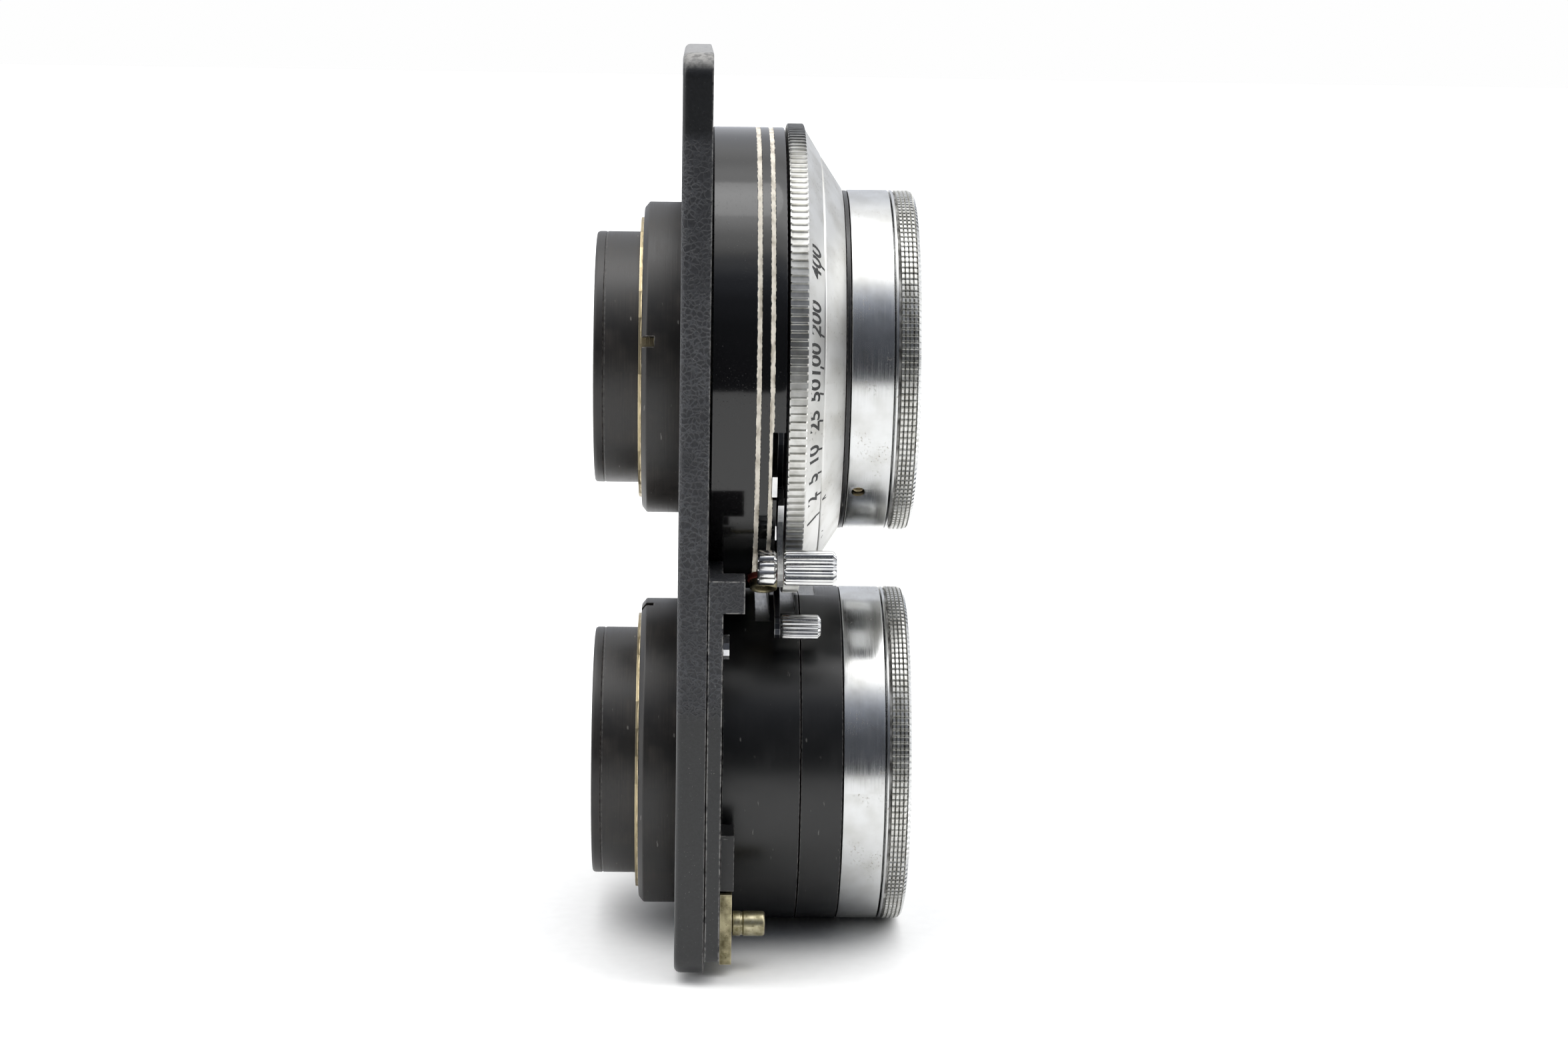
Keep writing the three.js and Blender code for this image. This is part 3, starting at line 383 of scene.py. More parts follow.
caseStripes = [(8.86, 9.40), (10.43, 10.95)]  # back and front of each painted groove
wrinkleAndLitZone = (-12.9, 53.4)  # heights between which the board's enamel is crinkled and painted lighter as lit; above and below them it is painted darker as shade
satinChrome = makeSatinChrome()
bandChrome = makeBandChrome()
knurlChrome = makeKnurlChrome()
caseEnamel = makeCaseEnamel(caseStripes)
barrelBlack = makeSatinBlack("satinBlackEnamel", "#0d0d0e", "#131314", "#8e8c88", 0.28)
tubeBlack = makeSatinBlack("wornBlackAnodising", "#171514", "#35302c", "#9b9893", 0.4, rub=0.8, lines=0.003)
partBlack = makeSatinBlack("cutBlackEnamel", "#101011", "#1d1d1f", "#8e8c88", 0.35, False)
wrinkleEnamel = makeWrinkleEnamel(wrinkleAndLitZone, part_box("lens_board")[1].z / mm)
turnedBrass = makeBrass("turnedBrass", "#cbbb98", "#8f8263", 0.32, True)
agedBrass = makeBrass("agedRolledBrass", "#aca485", "#6f684e", 0.4, False)
pinBrass = makeBrass("agedTurnedBrass", "#b4ad92", "#767053", 0.3, True)
darkBrass = makeBrass("grimyTurnedBrass", "#6a5a3c", "#1d1a15", 0.5, True)
leverChrome = makeSheetMetal("polishedChromedSteel", "#d4d4d2", "#bdbec0", 0.12)
milledAluminium = makeSheetMetal("milledAluminium", "#a9a9a7", "#8f9092", 0.34)
bladeSteel = makeSheetMetal("bluedBladeSteel", "#34363b", "#23252b", 0.38)
fibre = makeFibre()
glass = makeGlass()
scalePaint = makeScalePaint()
print("Materials made:", len(bpy.data.materials))


# ---- Mesh building ----

# Marks hard edges, points the faces outwards and shades the rest smooth.
def settle(piece, hardAngle=30):
    work = bmesh.new()
    work.from_mesh(piece.data)
    bmesh.ops.recalc_face_normals(work, faces=work.faces)
    limit = math.radians(hardAngle)
    for face in work.faces:
        face.smooth = True
    for edge in work.edges:
        edge.smooth = len(edge.link_faces) == 2 and edge.calc_face_angle(0) < limit
    work.to_mesh(piece.data)
    work.free()
    return piece


def newPiece(name, points, faces, materials, hardAngle=30):
    mesh = bpy.data.meshes.new(name)
    mesh.from_pydata(points, [], faces)
    piece = bpy.data.objects.new(name, mesh)
    bpy.context.scene.collection.objects.link(piece)
    for material in materials:
        mesh.materials.append(material)
    return settle(piece, hardAngle)


# Replaces each corner of an outline by a small round.
def eased(outline, ease, closed=True, steps=3):
    result = []
    count = len(outline)
    for i, point in enumerate(outline):
        here = Vector(point)
        if not closed and i in (0, count - 1):
            result.append(tuple(here))
            continue
        before, after = Vector(outline[i - 1]), Vector(outline[(i + 1) % count])
        cut = min(ease, 0.45 * (before - here).length, 0.45 * (after - here).length)
        a = here + (before - here).normalized() * cut
        b = here + (after - here).normalized() * cut
        for k in range(steps + 1):
            t = k / steps
            result.append(tuple(a * (1 - t) ** 2 + here * 2 * t * (1 - t) + b * t ** 2))
    return result


# Turns an outline of (x, radius) points about a lens axis or another axis along X. shape
# may change a point by its angle and index, and pick chooses the material of each face.
def lathe(name, outline, centre, materials, steps=160, angles=None, shape=None, pick=None, hard=30):
    angles = angles or [360 * i / steps for i in range(steps)]
    closed = outline[0][1] > 0
    y0, z0 = centre
    points, faces, marks, picks = [], [], [], []
    poles = {}
    index = []
    for angle in angles:
        turn = math.radians(angle)
        row = []
        for j, (x, radius) in enumerate(outline):
            if radius == 0 and j in poles:
                row.append(poles[j])
                continue
            if shape:
                x, radius = shape(x, radius, angle, j)
            points.append(Vector((x, y0 - radius * math.cos(turn), z0 + radius * math.sin(turn))) * mm)
            row.append(len(points) - 1)
            if radius == 0:
                poles[j] = len(points) - 1
        index.append(row)
    along = [0.0]
    for a, b in zip(outline, outline[1:] + outline[:1]):
        along.append(along[-1] + math.hypot(b[0] - a[0], b[1] - a[1]))
    reach = math.radians(max(radius for x, radius in outline))
    ends = list(angles[1:]) + [angles[0] + 360]
    for i, (start, end) in enumerate(zip(angles, ends)):
        row, following = index[i], index[(i + 1) % len(index)]
        for j in range(len(outline) if closed else len(outline) - 1):
            k = (j + 1) % len(outline)
            corners = [(row[j], start, along[j]), (row[k], start, along[j + 1]),
                       (following[k], end, along[j + 1]), (following[j], end, along[j])]
            kept = [c for n, c in enumerate(corners) if c[0] not in [d[0] for d in corners[:n]]]
            faces.append([c[0] for c in kept])
            marks += [(c[1] * reach, c[2]) for c in kept]
            if pick:
                (xa, ra), (xb, rb) = outline[j], outline[k]
                picks.append(pick((xa + xb) / 2, (ra + rb) / 2))
    mesh = bpy.data.meshes.new(name)
    mesh.from_pydata(points, [], faces)
    layer = mesh.uv_layers.new(name="surfaceMm")
    layer.data.foreach_set("uv", [value for mark in marks for value in mark])
    piece = bpy.data.objects.new(name, mesh)
    bpy.context.scene.collection.objects.link(piece)
    for material in materials:
        mesh.materials.append(material)
    if picks:
        mesh.polygons.foreach_set("material_index", picks)
    return settle(piece, hard)


# Cuts solids out of a piece and shades it again.
def cut(piece, cutters, hard=30):
    for cutter in cutters:
        modifier = piece.modifiers.new("cut", "BOOLEAN")
        modifier.object = cutter
        modifier.operation = "DIFFERENCE"
        modifier.solver = "EXACT"
    graph = bpy.context.evaluated_depsgraph_get()
    result = bpy.data.meshes.new_from_object(piece.evaluated_get(graph))
    piece.modifiers.clear()
    piece.data = result
    for cutter in cutters:
        bpy.data.objects.remove(cutter)
    return settle(piece, hard)


# A block between two corners in mm, turned about the X direction and placed.
def block(low, high, turn=0.0, origin=(0, 0, 0), material=None):
    points = [Vector((x, y, z)) for x in (low[0], high[0]) for y in (low[1], high[1])
              for z in (low[2], high[2])]
    place = Matrix.Translation(Vector(origin)) @ Matrix.Rotation(turn, 4, "X")
    faces = [(0, 1, 3, 2), (4, 6, 7, 5), (0, 4, 5, 1), (2, 3, 7, 6), (0, 2, 6, 4), (1, 5, 7, 3)]
    return newPiece("block", [place @ p * mm for p in points], faces, [material] if material else [])


# A slot cut across a round piece at a clock angle: its X range, depth range and width.
def notch(angle, xRange, reachRange, width, height):
    turn = -math.radians(angle)
    return block((xRange[0], -reachRange[1], -width / 2), (xRange[1], -reachRange[0], width / 2),
                 turn, (0, 0, height))


# A small tool for holes that point outwards from a lens axis at a clock angle.
def radialPiece(name, outline, angle, x, height, materials, steps=48):
    piece = lathe(name, outline, (0, 0), materials, steps)
    turn = math.radians(angle)
    outward = Vector((0, -math.cos(turn), math.sin(turn)))
    along = Vector((1, 0, 0))
    frameTurn = Matrix((outward, along, outward.cross(along))).transposed().to_4x4()
    piece.data.transform(Matrix.Translation(Vector((x, 0, height)) * mm) @ frameTurn)
    return piece


# Gives a kept CAD piece its finish and breaks its sharp edges.
# Gives a piece of the frame its material and breaks its hard edges by edge mm.
def dress(node, material, edge=0.12):
    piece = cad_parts[node]
    piece.data.materials.clear()
    piece.data.materials.append(material)
    if edge:
        bevel = piece.modifiers.new("brokenEdges", "BEVEL")
        bevel.width = edge * mm
        bevel.segments = 2
        bevel.limit_method = "ANGLE"
        bevel.angle_limit = math.radians(35)
        bevel.harden_normals = False


# Puts a piece on its body, in place of the nodes it stands for.
def place(piece, body, slot, *nodes):
    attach(piece, body)
    if nodes:
        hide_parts(*nodes)
    return piece


# ---- Board ----

def roundedOutline(inset, box, corner, steps=10):
    y0, y1, z0, z1 = box[0] + inset, box[1] - inset, box[2] + inset, box[3] - inset
    corner = max(corner - inset, 0.05)
    centres = [(y1 - corner, z1 - corner, 0), (y0 + corner, z1 - corner, 90),
               (y0 + corner, z0 + corner, 180), (y1 - corner, z0 + corner, 270)]
    points = []
    for y, z, start in centres:
        for i in range(steps + 1):
            turn = math.radians(start + 90 * i / steps)
            points.append((y + corner * math.cos(turn), z + corner * math.sin(turn)))
    return points


def circle(y, z, radius, steps):
    turns = [2 * math.pi * i / steps for i in range(steps)]
    return [(y + radius * math.cos(t), z + radius * math.sin(t)) for t in turns]


# A flat plate from stacked outlines (x, outline), with straight holes through it.
def plate(name, layers, holes, material, hard=30):
    work = bmesh.new()
    rings = [[work.verts.new(Vector((x, y, z)) * mm) for y, z in outline] for x, outline in layers]
    for low, high in zip(rings, rings[1:]):
        for i in range(len(low)):
            k = (i + 1) % len(low)
            work.faces.new((low[i], low[k], high[k], high[i]))
    ends = []
    for x, outer in ((layers[0][0], rings[0]), (layers[-1][0], rings[-1])):
        loops = [outer]
        for hole in holes:
            loops.append([work.verts.new(Vector((x, y, z)) * mm) for y, z in hole])
        edges = []
        for loop in loops:
            for i in range(len(loop)):
                pair = (loop[i], loop[(i + 1) % len(loop)])
                edges.append(work.edges.get(pair) or work.edges.new(pair))
        bmesh.ops.triangle_fill(work, edges=edges, use_beauty=True)
        ends.append(loops[1:])
    for low, high in zip(*ends):
        for i in range(len(low)):
            k = (i + 1) % len(low)
            work.faces.new((low[i], low[k], high[k], high[i]))
    mesh = bpy.data.meshes.new(name)
    work.to_mesh(mesh)
    work.free()
    mesh.materials.append(material)
    piece = bpy.data.objects.new(name, mesh)
    bpy.context.scene.collection.objects.link(piece)
    return settle(piece, hard)


board = {"corner": 3.0, "rearRound": 0.75, "frontRound": 0.2, "roundSteps": 5, "boreRoom": 2.1}


def makeBoard():
    low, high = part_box("lens_board")
    low, high = low / mm, high / mm
    box = (low.y, high.y, low.z, high.z)
    layers = []
    steps = board["roundSteps"]
    for i in range(steps + 1):
        turn = math.pi / 2 * i / steps
        radius = board["rearRound"]
        inset = radius * (1 - math.sin(turn))
        layers.append((low.x + radius * (1 - math.cos(turn)), roundedOutline(inset, box, board["corner"])))
    for i in range(3):
        turn = math.pi / 2 * i / 2
        radius = board["frontRound"]
        inset = radius * (1 - math.cos(turn))
        layers.append((high.x - radius * (1 - math.sin(turn)), roundedOutline(inset, box, board["corner"])))
    bore = spans["taking_rear_tube"][2] + board["boreRoom"]
    holes = [circle(0, axisHeight[name], bore, 96) for name in lensNames]
    piece = plate("wrinkled_board", layers, holes, wrinkleEnamel)
    place(piece, "root", "board_enamel", "lens_board")
    dress("front_cover_plate", wrinkleEnamel, edge=0.15)


makeBoard()


def makeHardware():
    for i in range(1, 5):
        dress(f"cover_screw_{i}", leverChrome, edge=0.08)
    dress("locator_plate", agedBrass, edge=0.2)
    dress("stop_block", partBlack, edge=0.5)
    back, front, radius = spans["locator_pin"]
    centre = middle("locator_pin")
    stem = {"shoulder": 1.55, "tip": 0.2, "neck": radius - 0.5, "groove": 0.12}
    x = back + stem["shoulder"]
    outline = [(back, 0), (back, stem["neck"]), (x, stem["neck"]), (x, radius), (x + 0.9, radius),
               (x + 1.0, radius - stem["groove"]), (x + 1.2, radius - stem["groove"]), (x + 1.3, radius),
               (front - stem["tip"], radius), (front, radius - stem["tip"]), (front, 0)]
    pin = lathe("turned_locator_pin", eased(outline, 0.12, False), (centre.y, centre.z), [pinBrass], 64)
    place(pin, "root", "brass", "locator_pin")


makeHardware()
print("Board and hardware made")


# ---- Rear cells ----

rearCell = {"wall": 1.4, "ease": 0.22, "nutChamfer": 0.75, "notchWidth": 1.25, "notchDepth": 1.5,
            "notchAngle": {"taking": 12.3, "viewing": 85.0}, "threadPitch": 0.5}


def makeRearCell(name):
    height = axisHeight[name]
    back, front, radius = spans[f"{name}_rear_tube"]
    bore = radius - rearCell["wall"]
    outline = [(back, bore + 0.35), (back, radius - 0.15), (back + 0.3, radius), (back + 1.1, radius),
               (back + 1.15, radius - 0.06), (back + 1.3, radius - 0.06), (back + 1.35, radius),
               (front, radius), (front, bore - 1), (front - 1, bore - 1), (front - 1, bore),
               (back + 1.0, bore), (back + 0.9, bore - 0.9), (back + 0.5, bore - 0.9), (back + 0.3, bore)]
    tube = lathe(f"{name}_rear_cell", eased(outline, rearCell["ease"]), (0, height), [tubeBlack], 192)
    place(tube, "root", "satin_black", f"{name}_rear_tube")

    nutBack, nutFront, nutRadius = spans[f"{name}_retaining_ring"]
    neck = spans["viewing_mount_tube"]
    chamfer = rearCell["nutChamfer"]
    nutBore = neck[2] + 0.3
    outline = [(nutBack, nutBore), (nutBack, nutRadius - chamfer), (nutBack + chamfer * 0.8, nutRadius),
               (nutFront, nutRadius), (nutFront, nutBore)]
    nut = lathe(f"{name}_nut", eased(outline, 0.14), (0, height), [tubeBlack], 192)
    angle = rearCell["notchAngle"][name]
    cutters = [notch(angle + 180 * k, (nutBack - 1, nutBack + rearCell["notchDepth"]),
                     (nutBore - 1, nutRadius + 1), rearCell["notchWidth"], height) for k in (0, 1)]
    place(cut(nut, cutters), "root", "satin_black", f"{name}_retaining_ring")

    # the brass mount tube shows its threaded end between the ring and the cell
    pitch = rearCell["threadPitch"]
    inner = radius + 0.3
    outer = neck[2]
    turns = int((nutFront - nutBack) / pitch)
    outline = [(neck[0], inner), (neck[0], outer - 0.2)]
    for i in range(turns):
        x = neck[0] + 0.35 + i * pitch
        outline += [(x, outer), (x + pitch / 2, outer - 0.28)]
    outline += [(nutFront, outer), (nutFront, inner)]
    end = neck[0] + 0.36
    thread = lathe(f"{name}_thread", outline, (0, height), [turnedBrass, darkBrass], 144, hard=50,
                   pick=lambda x, r: 1 if x > end and r > inner else 0)
    place(thread, "root", "brass")


# A round glass with spherical faces that bulge by the given heights.
def makeGlassElement(node, name, backBulge, frontBulge):
    back, front, radius = spans[node]
    centre = middle(node)
    edgeBack, edgeFront = back + max(backBulge, 0), front - max(frontBulge, 0)
    rings = [i / 14 for i in range(15)]
    rearFace = [(edgeBack - backBulge * (1 - t * t), radius * t) for t in rings]
    frontFace = [(edgeFront + frontBulge * (1 - t * t), radius * t) for t in reversed(rings)]
    piece = lathe(name, rearFace + frontFace, (0, centre.z), [glass], 96, hard=40)
    place(piece, "root", "glass", node)


for lens in lensNames:
    makeRearCell(lens)
    makeGlassElement(f"{lens}_rear_element", f"{lens}_rear_glass", 0.9, 0.6)
    makeGlassElement(f"{lens}_inner_element", f"{lens}_inner_glass", -0.8, -0.8)
    makeGlassElement(f"{lens}_front_element", f"{lens}_front_glass", 1.0, 1.5)
dress("taking_mount_tube", turnedBrass, edge=0)
dress("viewing_mount_tube", turnedBrass, edge=0)
print("Rear cells made")


# ---- Front cells ----

frontCell = {"ease": 0.12, "lip": 3.3, "screwAngle": -42.1, "screwHole": 0.82, "ribs": 6,
             "tubeInset": 5.7, "boreInset": 7.0, "seatInset": 2, "lensRoom": 0.5}


def makeFrontBarrel(name):
    node = f"{name}_front_barrel"
    height = axisHeight[name]
    spacerFront = spans["spacer_ring"][1]
    bandBack = spacerFront + 0.1
    ringBack, ringFront, radius = spans[f"{name}_front_ring"]
    bandFront = ringBack - 0.2
    tubeBack = spans[node][0]
    tubeRadius, bore = radius - frontCell["tubeInset"], radius - frontCell["boreInset"]
    seatRadius = radius - frontCell["seatInset"]
    lensBore = radius - frontCell["lip"] - frontCell["lensRoom"]
    outline = [(tubeBack, bore), (tubeBack, tubeRadius), (bandBack, tubeRadius), (bandBack, radius),
               (bandFront, radius), (bandFront, seatRadius), (ringFront - 1.1, seatRadius),
               (ringFront - 1.1, lensBore), (bandBack + 0.8, lensBore), (bandBack + 0.8, bore)]
    barrel = lathe(f"{name}_band", eased(outline, frontCell["ease"]), (0, height), [bandChrome], 256)
    if name == "taking":
        centre = middle("taking_set_screw")
        hole = [(radius - 1.9, 0), (radius - 1.9, frontCell["screwHole"]),
                (radius + 1, frontCell["screwHole"]), (radius + 1, 0)]
        tool = radialPiece("screw_hole", hole, frontCell["screwAngle"], centre.x, height, [bandChrome])
        cut(barrel, [tool])
        head = [(radius - 1.8, 0), (radius - 1.8, 0.66), (radius - 0.55, 0.66), (radius - 0.45, 0.56),
                (radius - 0.45, 0)]
        screw = radialPiece("slotted_set_screw", head, frontCell["screwAngle"], centre.x, height,
                            [turnedBrass])
        slot = notch(frontCell["screwAngle"], (centre.x - 1, centre.x + 1), (radius - 0.85, radius + 1),
                     0.26, height)
        place(cut(screw, [slot]), "root", "brass", "taking_set_screw")
    place(barrel, "root", "chrome", node)


knurl = {"rows": 169, "columns": 5, "pitch": 0.55, "depth": 0.24, "top": 0.58, "front": 0.95,
         "collar": 0.28, "groove": 0.3}


# The front ring: a plain collar and a dark groove, five rows of pyramids, a rounded front.
def makeFrontRing(name):
    node = f"{name}_front_ring"
    back, front, radius = spans[node]
    root = radius - knurl["depth"]
    rimBore = radius - frontCell["lip"]
    seatRadius = radius - 1.7
    start = back + knurl["collar"] + knurl["groove"]
    pitch = (front - 0.05 - start) / knurl["columns"]
    outline = [(back, seatRadius), (back, radius - 0.08), (back + 0.08, radius),
               (back + knurl["collar"], radius), (back + knurl["collar"] + 0.03, root - 0.12),
               (start, root - 0.12)]
    tops = set()
    for i in range(knurl["columns"]):
        x = start + i * pitch
        edge = (1 - knurl["top"]) / 2
        outline.append((x, root))
        for share in (edge, 1 - edge):
            tops.add(len(outline))
            outline.append((x + share * pitch, radius))
    # the front corner is round, so the last pyramids bend over with it
    bend = knurl["front"]

    def onRim(x, reach):
        over = x - (front - bend)
        if over <= 0:
            return x, reach
        return x, reach - (bend - math.sqrt(max(bend ** 2 - over ** 2, 0)))

    outline = [onRim(x, r) for x, r in outline]
    rim = [(front, radius - bend - 0.15), (front, rimBore + 0.15), (front - 0.15, rimBore),
           (front - 0.6, rimBore + 0.12), (front - 0.8, rimBore + 0.12), (front - 0.8, seatRadius)]
    outline += rim
    step = 360 / knurl["rows"]
    angles = []
    crest = set()
    for i in range(knurl["rows"]):
        for share in (0, 0.22, 0.78):
            if share:
                crest.add(len(angles))
            angles.append((i + share) * step)
    onCrest = {round(angles[i], 6) for i in crest}

    def pyramid(x, reach, angle, j):
        if j in tops and round(angle, 6) not in onCrest:
            return x, reach - knurl["depth"]
        return x, reach

    ring = lathe(f"{name}_knurled_ring", outline, (0, axisHeight[name]), [knurlChrome, bandChrome],
                 angles=angles, shape=pyramid, hard=24,
                 pick=lambda x, r: 0 if start - 0.3 < x < front - 0.3 and r > root - 1 else 1)
    place(ring, "root", "chrome", node)


# The black trim ring inside the rim: a ribbed funnel down to the glass.
def makeTrimRing(name):
    node = f"{name}_trim_ring"
    back, front, radius = spans[node]
    bore = radius - 2.7
    depth = front - back
    outline = [(back, bore), (back, radius), (front, radius)]
    ribs = frontCell["ribs"]
    for i in range(ribs):
        share = i / ribs
        x = front - share * depth * 0.8
        r = radius - 0.25 - share * (radius - bore - 0.3)
        outline += [(x, r), (x - 0.12, r - 0.22), (x - 0.16, r - 0.3)]
    outline += [(back + depth * 0.15, bore)]
    ring = lathe(f"{name}_ribbed_trim", outline, (0, axisHeight[name]), [barrelBlack], 160, hard=25)
    place(ring, "root", "satin_black", node)


for lens in lensNames:
    makeFrontBarrel(lens)
    makeFrontRing(lens)
    makeTrimRing(lens)
print("Front cells made")


# ---- Shutter ----

shutter = {"grooveDepth": 0.05, "selectorAngle": -24.6, "slotEnd": -84.5, "leverAngle": 200.0,
           "teeth": 188, "toothDepth": 0.3, "socketHole": 2.2}


def makeShutterCase():
    height = axisHeight["taking"]
    back, front, radius = spans["shutter_case"]
    slotFloor = spans["cocking_lever"][0] - 0.25
    bore = radius - 1.2
    hub = spans["viewing_mount_tube"][2] + 0.3
    floor = back + 1.5
    outline = [(back, hub), (back, radius - 0.2), (back + 0.2, radius)]
    depth = shutter["grooveDepth"]
    for a, b in caseStripes:
        outline += [(a - 0.03, radius), (a + 0.03, radius - depth), (b - 0.03, radius - depth),
                    (b + 0.03, radius)]
    outline += [(front - 0.18, radius), (front - 0.05, radius - 0.06), (front, radius - 0.2),
                (front, bore + 0.15), (front - 0.15, bore), (floor, bore), (floor, hub)]
    case = lathe("enamelled_case", outline, (0, height), [caseEnamel], 288, hard=35)
    angle = shutter["selectorAngle"]
    selector = [angle - 4, angle + 14]
    levers = [shutter["slotEnd"], angle + 14]
    lever = [shutter["leverAngle"] - 5, shutter["leverAngle"] + 35]
    irisBack, irisFront = spans["aperture_ring"][:2]
    tools = []
    slots = [(selector, slotFloor - 0.6, front + 1), (levers, slotFloor, front + 1),
             (lever, irisBack - 0.3, irisFront + 0.3)]
    for (start, end), low, high in slots:
        angles = [start + (end - start) * i / 24 for i in range(25)]
        outer = [clockPoint(a, radius + 1, 0, height) for a in angles]
        inner = [clockPoint(a, bore - 1, 0, height) for a in reversed(angles)]
        loop = outer + inner
        count = len(loop)
        points = [p + Vector((low * mm, 0, 0)) for p in loop] + [p + Vector((high * mm, 0, 0)) for p in loop]
        faces = [tuple(range(count)), tuple(range(count, 2 * count))]
        faces += [(i, (i + 1) % count, (i + 1) % count + count, i + count) for i in range(count)]
        tools.append(newPiece("slotTool", points, faces, [caseEnamel]))
    socket = middle("flash_socket")
    angle = -math.degrees(math.atan2(height - socket.z, -socket.y))
    wide = shutter["socketHole"]
    path = [(bore - 1, 0), (bore - 1, wide), (radius + 1, wide), (radius + 1, 0)]
    tools.append(radialPiece("socketTool", path, angle, socket.x, height, [caseEnamel]))
    place(cut(case, tools, 35), "root", "shutter_enamel", "shutter_case")


# The cone runs from the lip of the serrated band to the flat of the face.
cone = {"back": spans["speed_ring"][0] + 2.1, "front": spans["face_plate"][1],
        "lip": spans["speed_ring"][2] - 0.5, "flat": spans["taking_front_ring"][2]}


def coneX(radius):
    share = (cone["lip"] - radius) / (cone["lip"] - cone["flat"])
    return cone["back"] + share * (cone["front"] - cone["back"])


def makeSpeedRing():
    height = axisHeight["taking"]
    back, front, radius = spans["speed_ring"]
    bandEnd = cone["back"]
    bore = spans["taking_front_ring"][2] + 1.0
    seam = spans["face_plate"][2] + 0.3
    root = radius - shutter["toothDepth"]
    tooth = [(back, root + 0.1), (back + 0.14, radius), (bandEnd - 0.14, radius), (bandEnd, radius - 0.2)]
    outline = [(back, bore)] + tooth + [(bandEnd + 0.03, radius - 0.5), (coneX(seam + 0.12), seam + 0.12),
               (coneX(seam) - 0.02, seam), (front, seam), (front, bore)]
    count = shutter["teeth"]
    angles = []
    crests = set()
    for i in range(count):
        for share in (0.0, 0.60, 0.70, 0.86):
            angle = (i + share) * 360 / count
            if share in (0.70, 0.86):
                crests.add(round(angle, 6))
            angles.append(angle)

    def serration(x, reach, angle, j):
        if 1 <= j <= 4 and round(angle, 6) not in crests:
            return x, min(reach, root)
        return x, reach

    ring = lathe("serrated_speed_ring", outline, (0, height), [satinChrome, knurlChrome], angles=angles,
                 shape=serration, hard=20, pick=lambda x, r: 1 if r > radius - 0.45 and x < bandEnd else 0)
    place(ring, "speed_ring", "satin_black", "speed_ring")


def makeFacePlate():
    height = axisHeight["taking"]
    back, front, radius = spans["face_plate"]
    hub = spans["viewing_mount_tube"][2] + 0.1
    spigot = spans["taking_front_ring"][2] + 0.7
    shelf = spans["speed_ring"][0] + 3.3
    flat = spans["taking_front_ring"][2] + 0.2
    outline = [(back, hub), (back, spigot), (shelf, spigot), (shelf, radius), (coneX(radius) - 0.05, radius),
               (coneX(radius - 0.1), radius - 0.1), (front, flat), (front, hub)]
    face = lathe("fixed_face", eased(outline, 0.05), (0, height), [satinChrome], 256, hard=25)
    place(face, "root", "satin_black", "face_plate")
    back, front, radius = spans["spacer_ring"]
    outline = [(back, hub), (back, radius - 0.1), (front, radius - 0.1), (front, hub)]
    spacer = lathe("black_spacer", eased(outline, 0.08), (0, height), [barrelBlack], 192)
    place(spacer, "root", "satin_black", "spacer_ring")


makeShutterCase()
makeSpeedRing()
makeFacePlate()
for i in range(1, 6):
    dress(f"shutter_blade_{i}", bladeSteel, edge=0)
    dress(f"iris_leaf_{i}", bladeSteel, edge=0)
for node in ("mechanism_plate", "blade_drive_ring", "aperture_ring", "cocking_spring", "retard_pallet"):
    dress(node, bladeSteel, edge=0)
for node in ("retard_sector", "retard_gear"):
    dress(node, agedBrass, edge=0)
print("Shutter made")


# ---- Speed scale ----

# The numbers, each with its clock angle and its tick's.
scale = {"numbers": [("400", 31.2, 31.0), ("200", 16.6, 12.8), ("100", 6.2, 4.6), ("50", -1.1, -2.1),
                     ("25", -8.8, -9.2), ("10", -17.9, -17.0), ("5", -24.5, -24.0), ("2", -30.9, -31.0),
                     ("1", -38.3, -38.4), ("B", -58.6, -59.4)],
         "tall": 2.3, "wide": 1.55, "weight": 0.07, "slant": 0.1, "gap": 0.95, "tick": 0.95, "thick": 0.24,
         "line": 0.2, "rise": 0.02, "index": -34.8}


# Wraps a flat drawing onto the cone: u runs round the ring, v up the slope from the seam.
def ontoCone(u, v, w, angle, seam):
    slope = math.atan2(coneX(seam - 1) - coneX(seam), 1.0)
    reach = seam + v * math.cos(slope)
    x = coneX(reach) + w * math.cos(slope)
    turn = angle + math.degrees(u / seam)
    return clockPoint(turn, reach + w * math.sin(slope), x, axisHeight["taking"])


# A closed strip between two points of the flat drawing.
def inkLine(points, faces, start, end, thick, angle, seam):
    along = Vector((end[0] - start[0], end[1] - start[1]))
    side = Vector((-along.y, along.x)).normalized() * thick / 2
    first = len(points)
    for w in (-0.05, scale["rise"]):
        for corner, sign in ((start, -1), (end, -1), (end, 1), (start, 1)):
            points.append(ontoCone(corner[0] + sign * side.x, corner[1] + sign * side.y, w, angle, seam))
    quads = [(0, 1, 2, 3), (4, 5, 6, 7), (0, 1, 5, 4), (1, 2, 6, 5), (2, 3, 7, 6), (3, 0, 4, 7)]
    faces += [tuple(first + i for i in quad) for quad in quads]


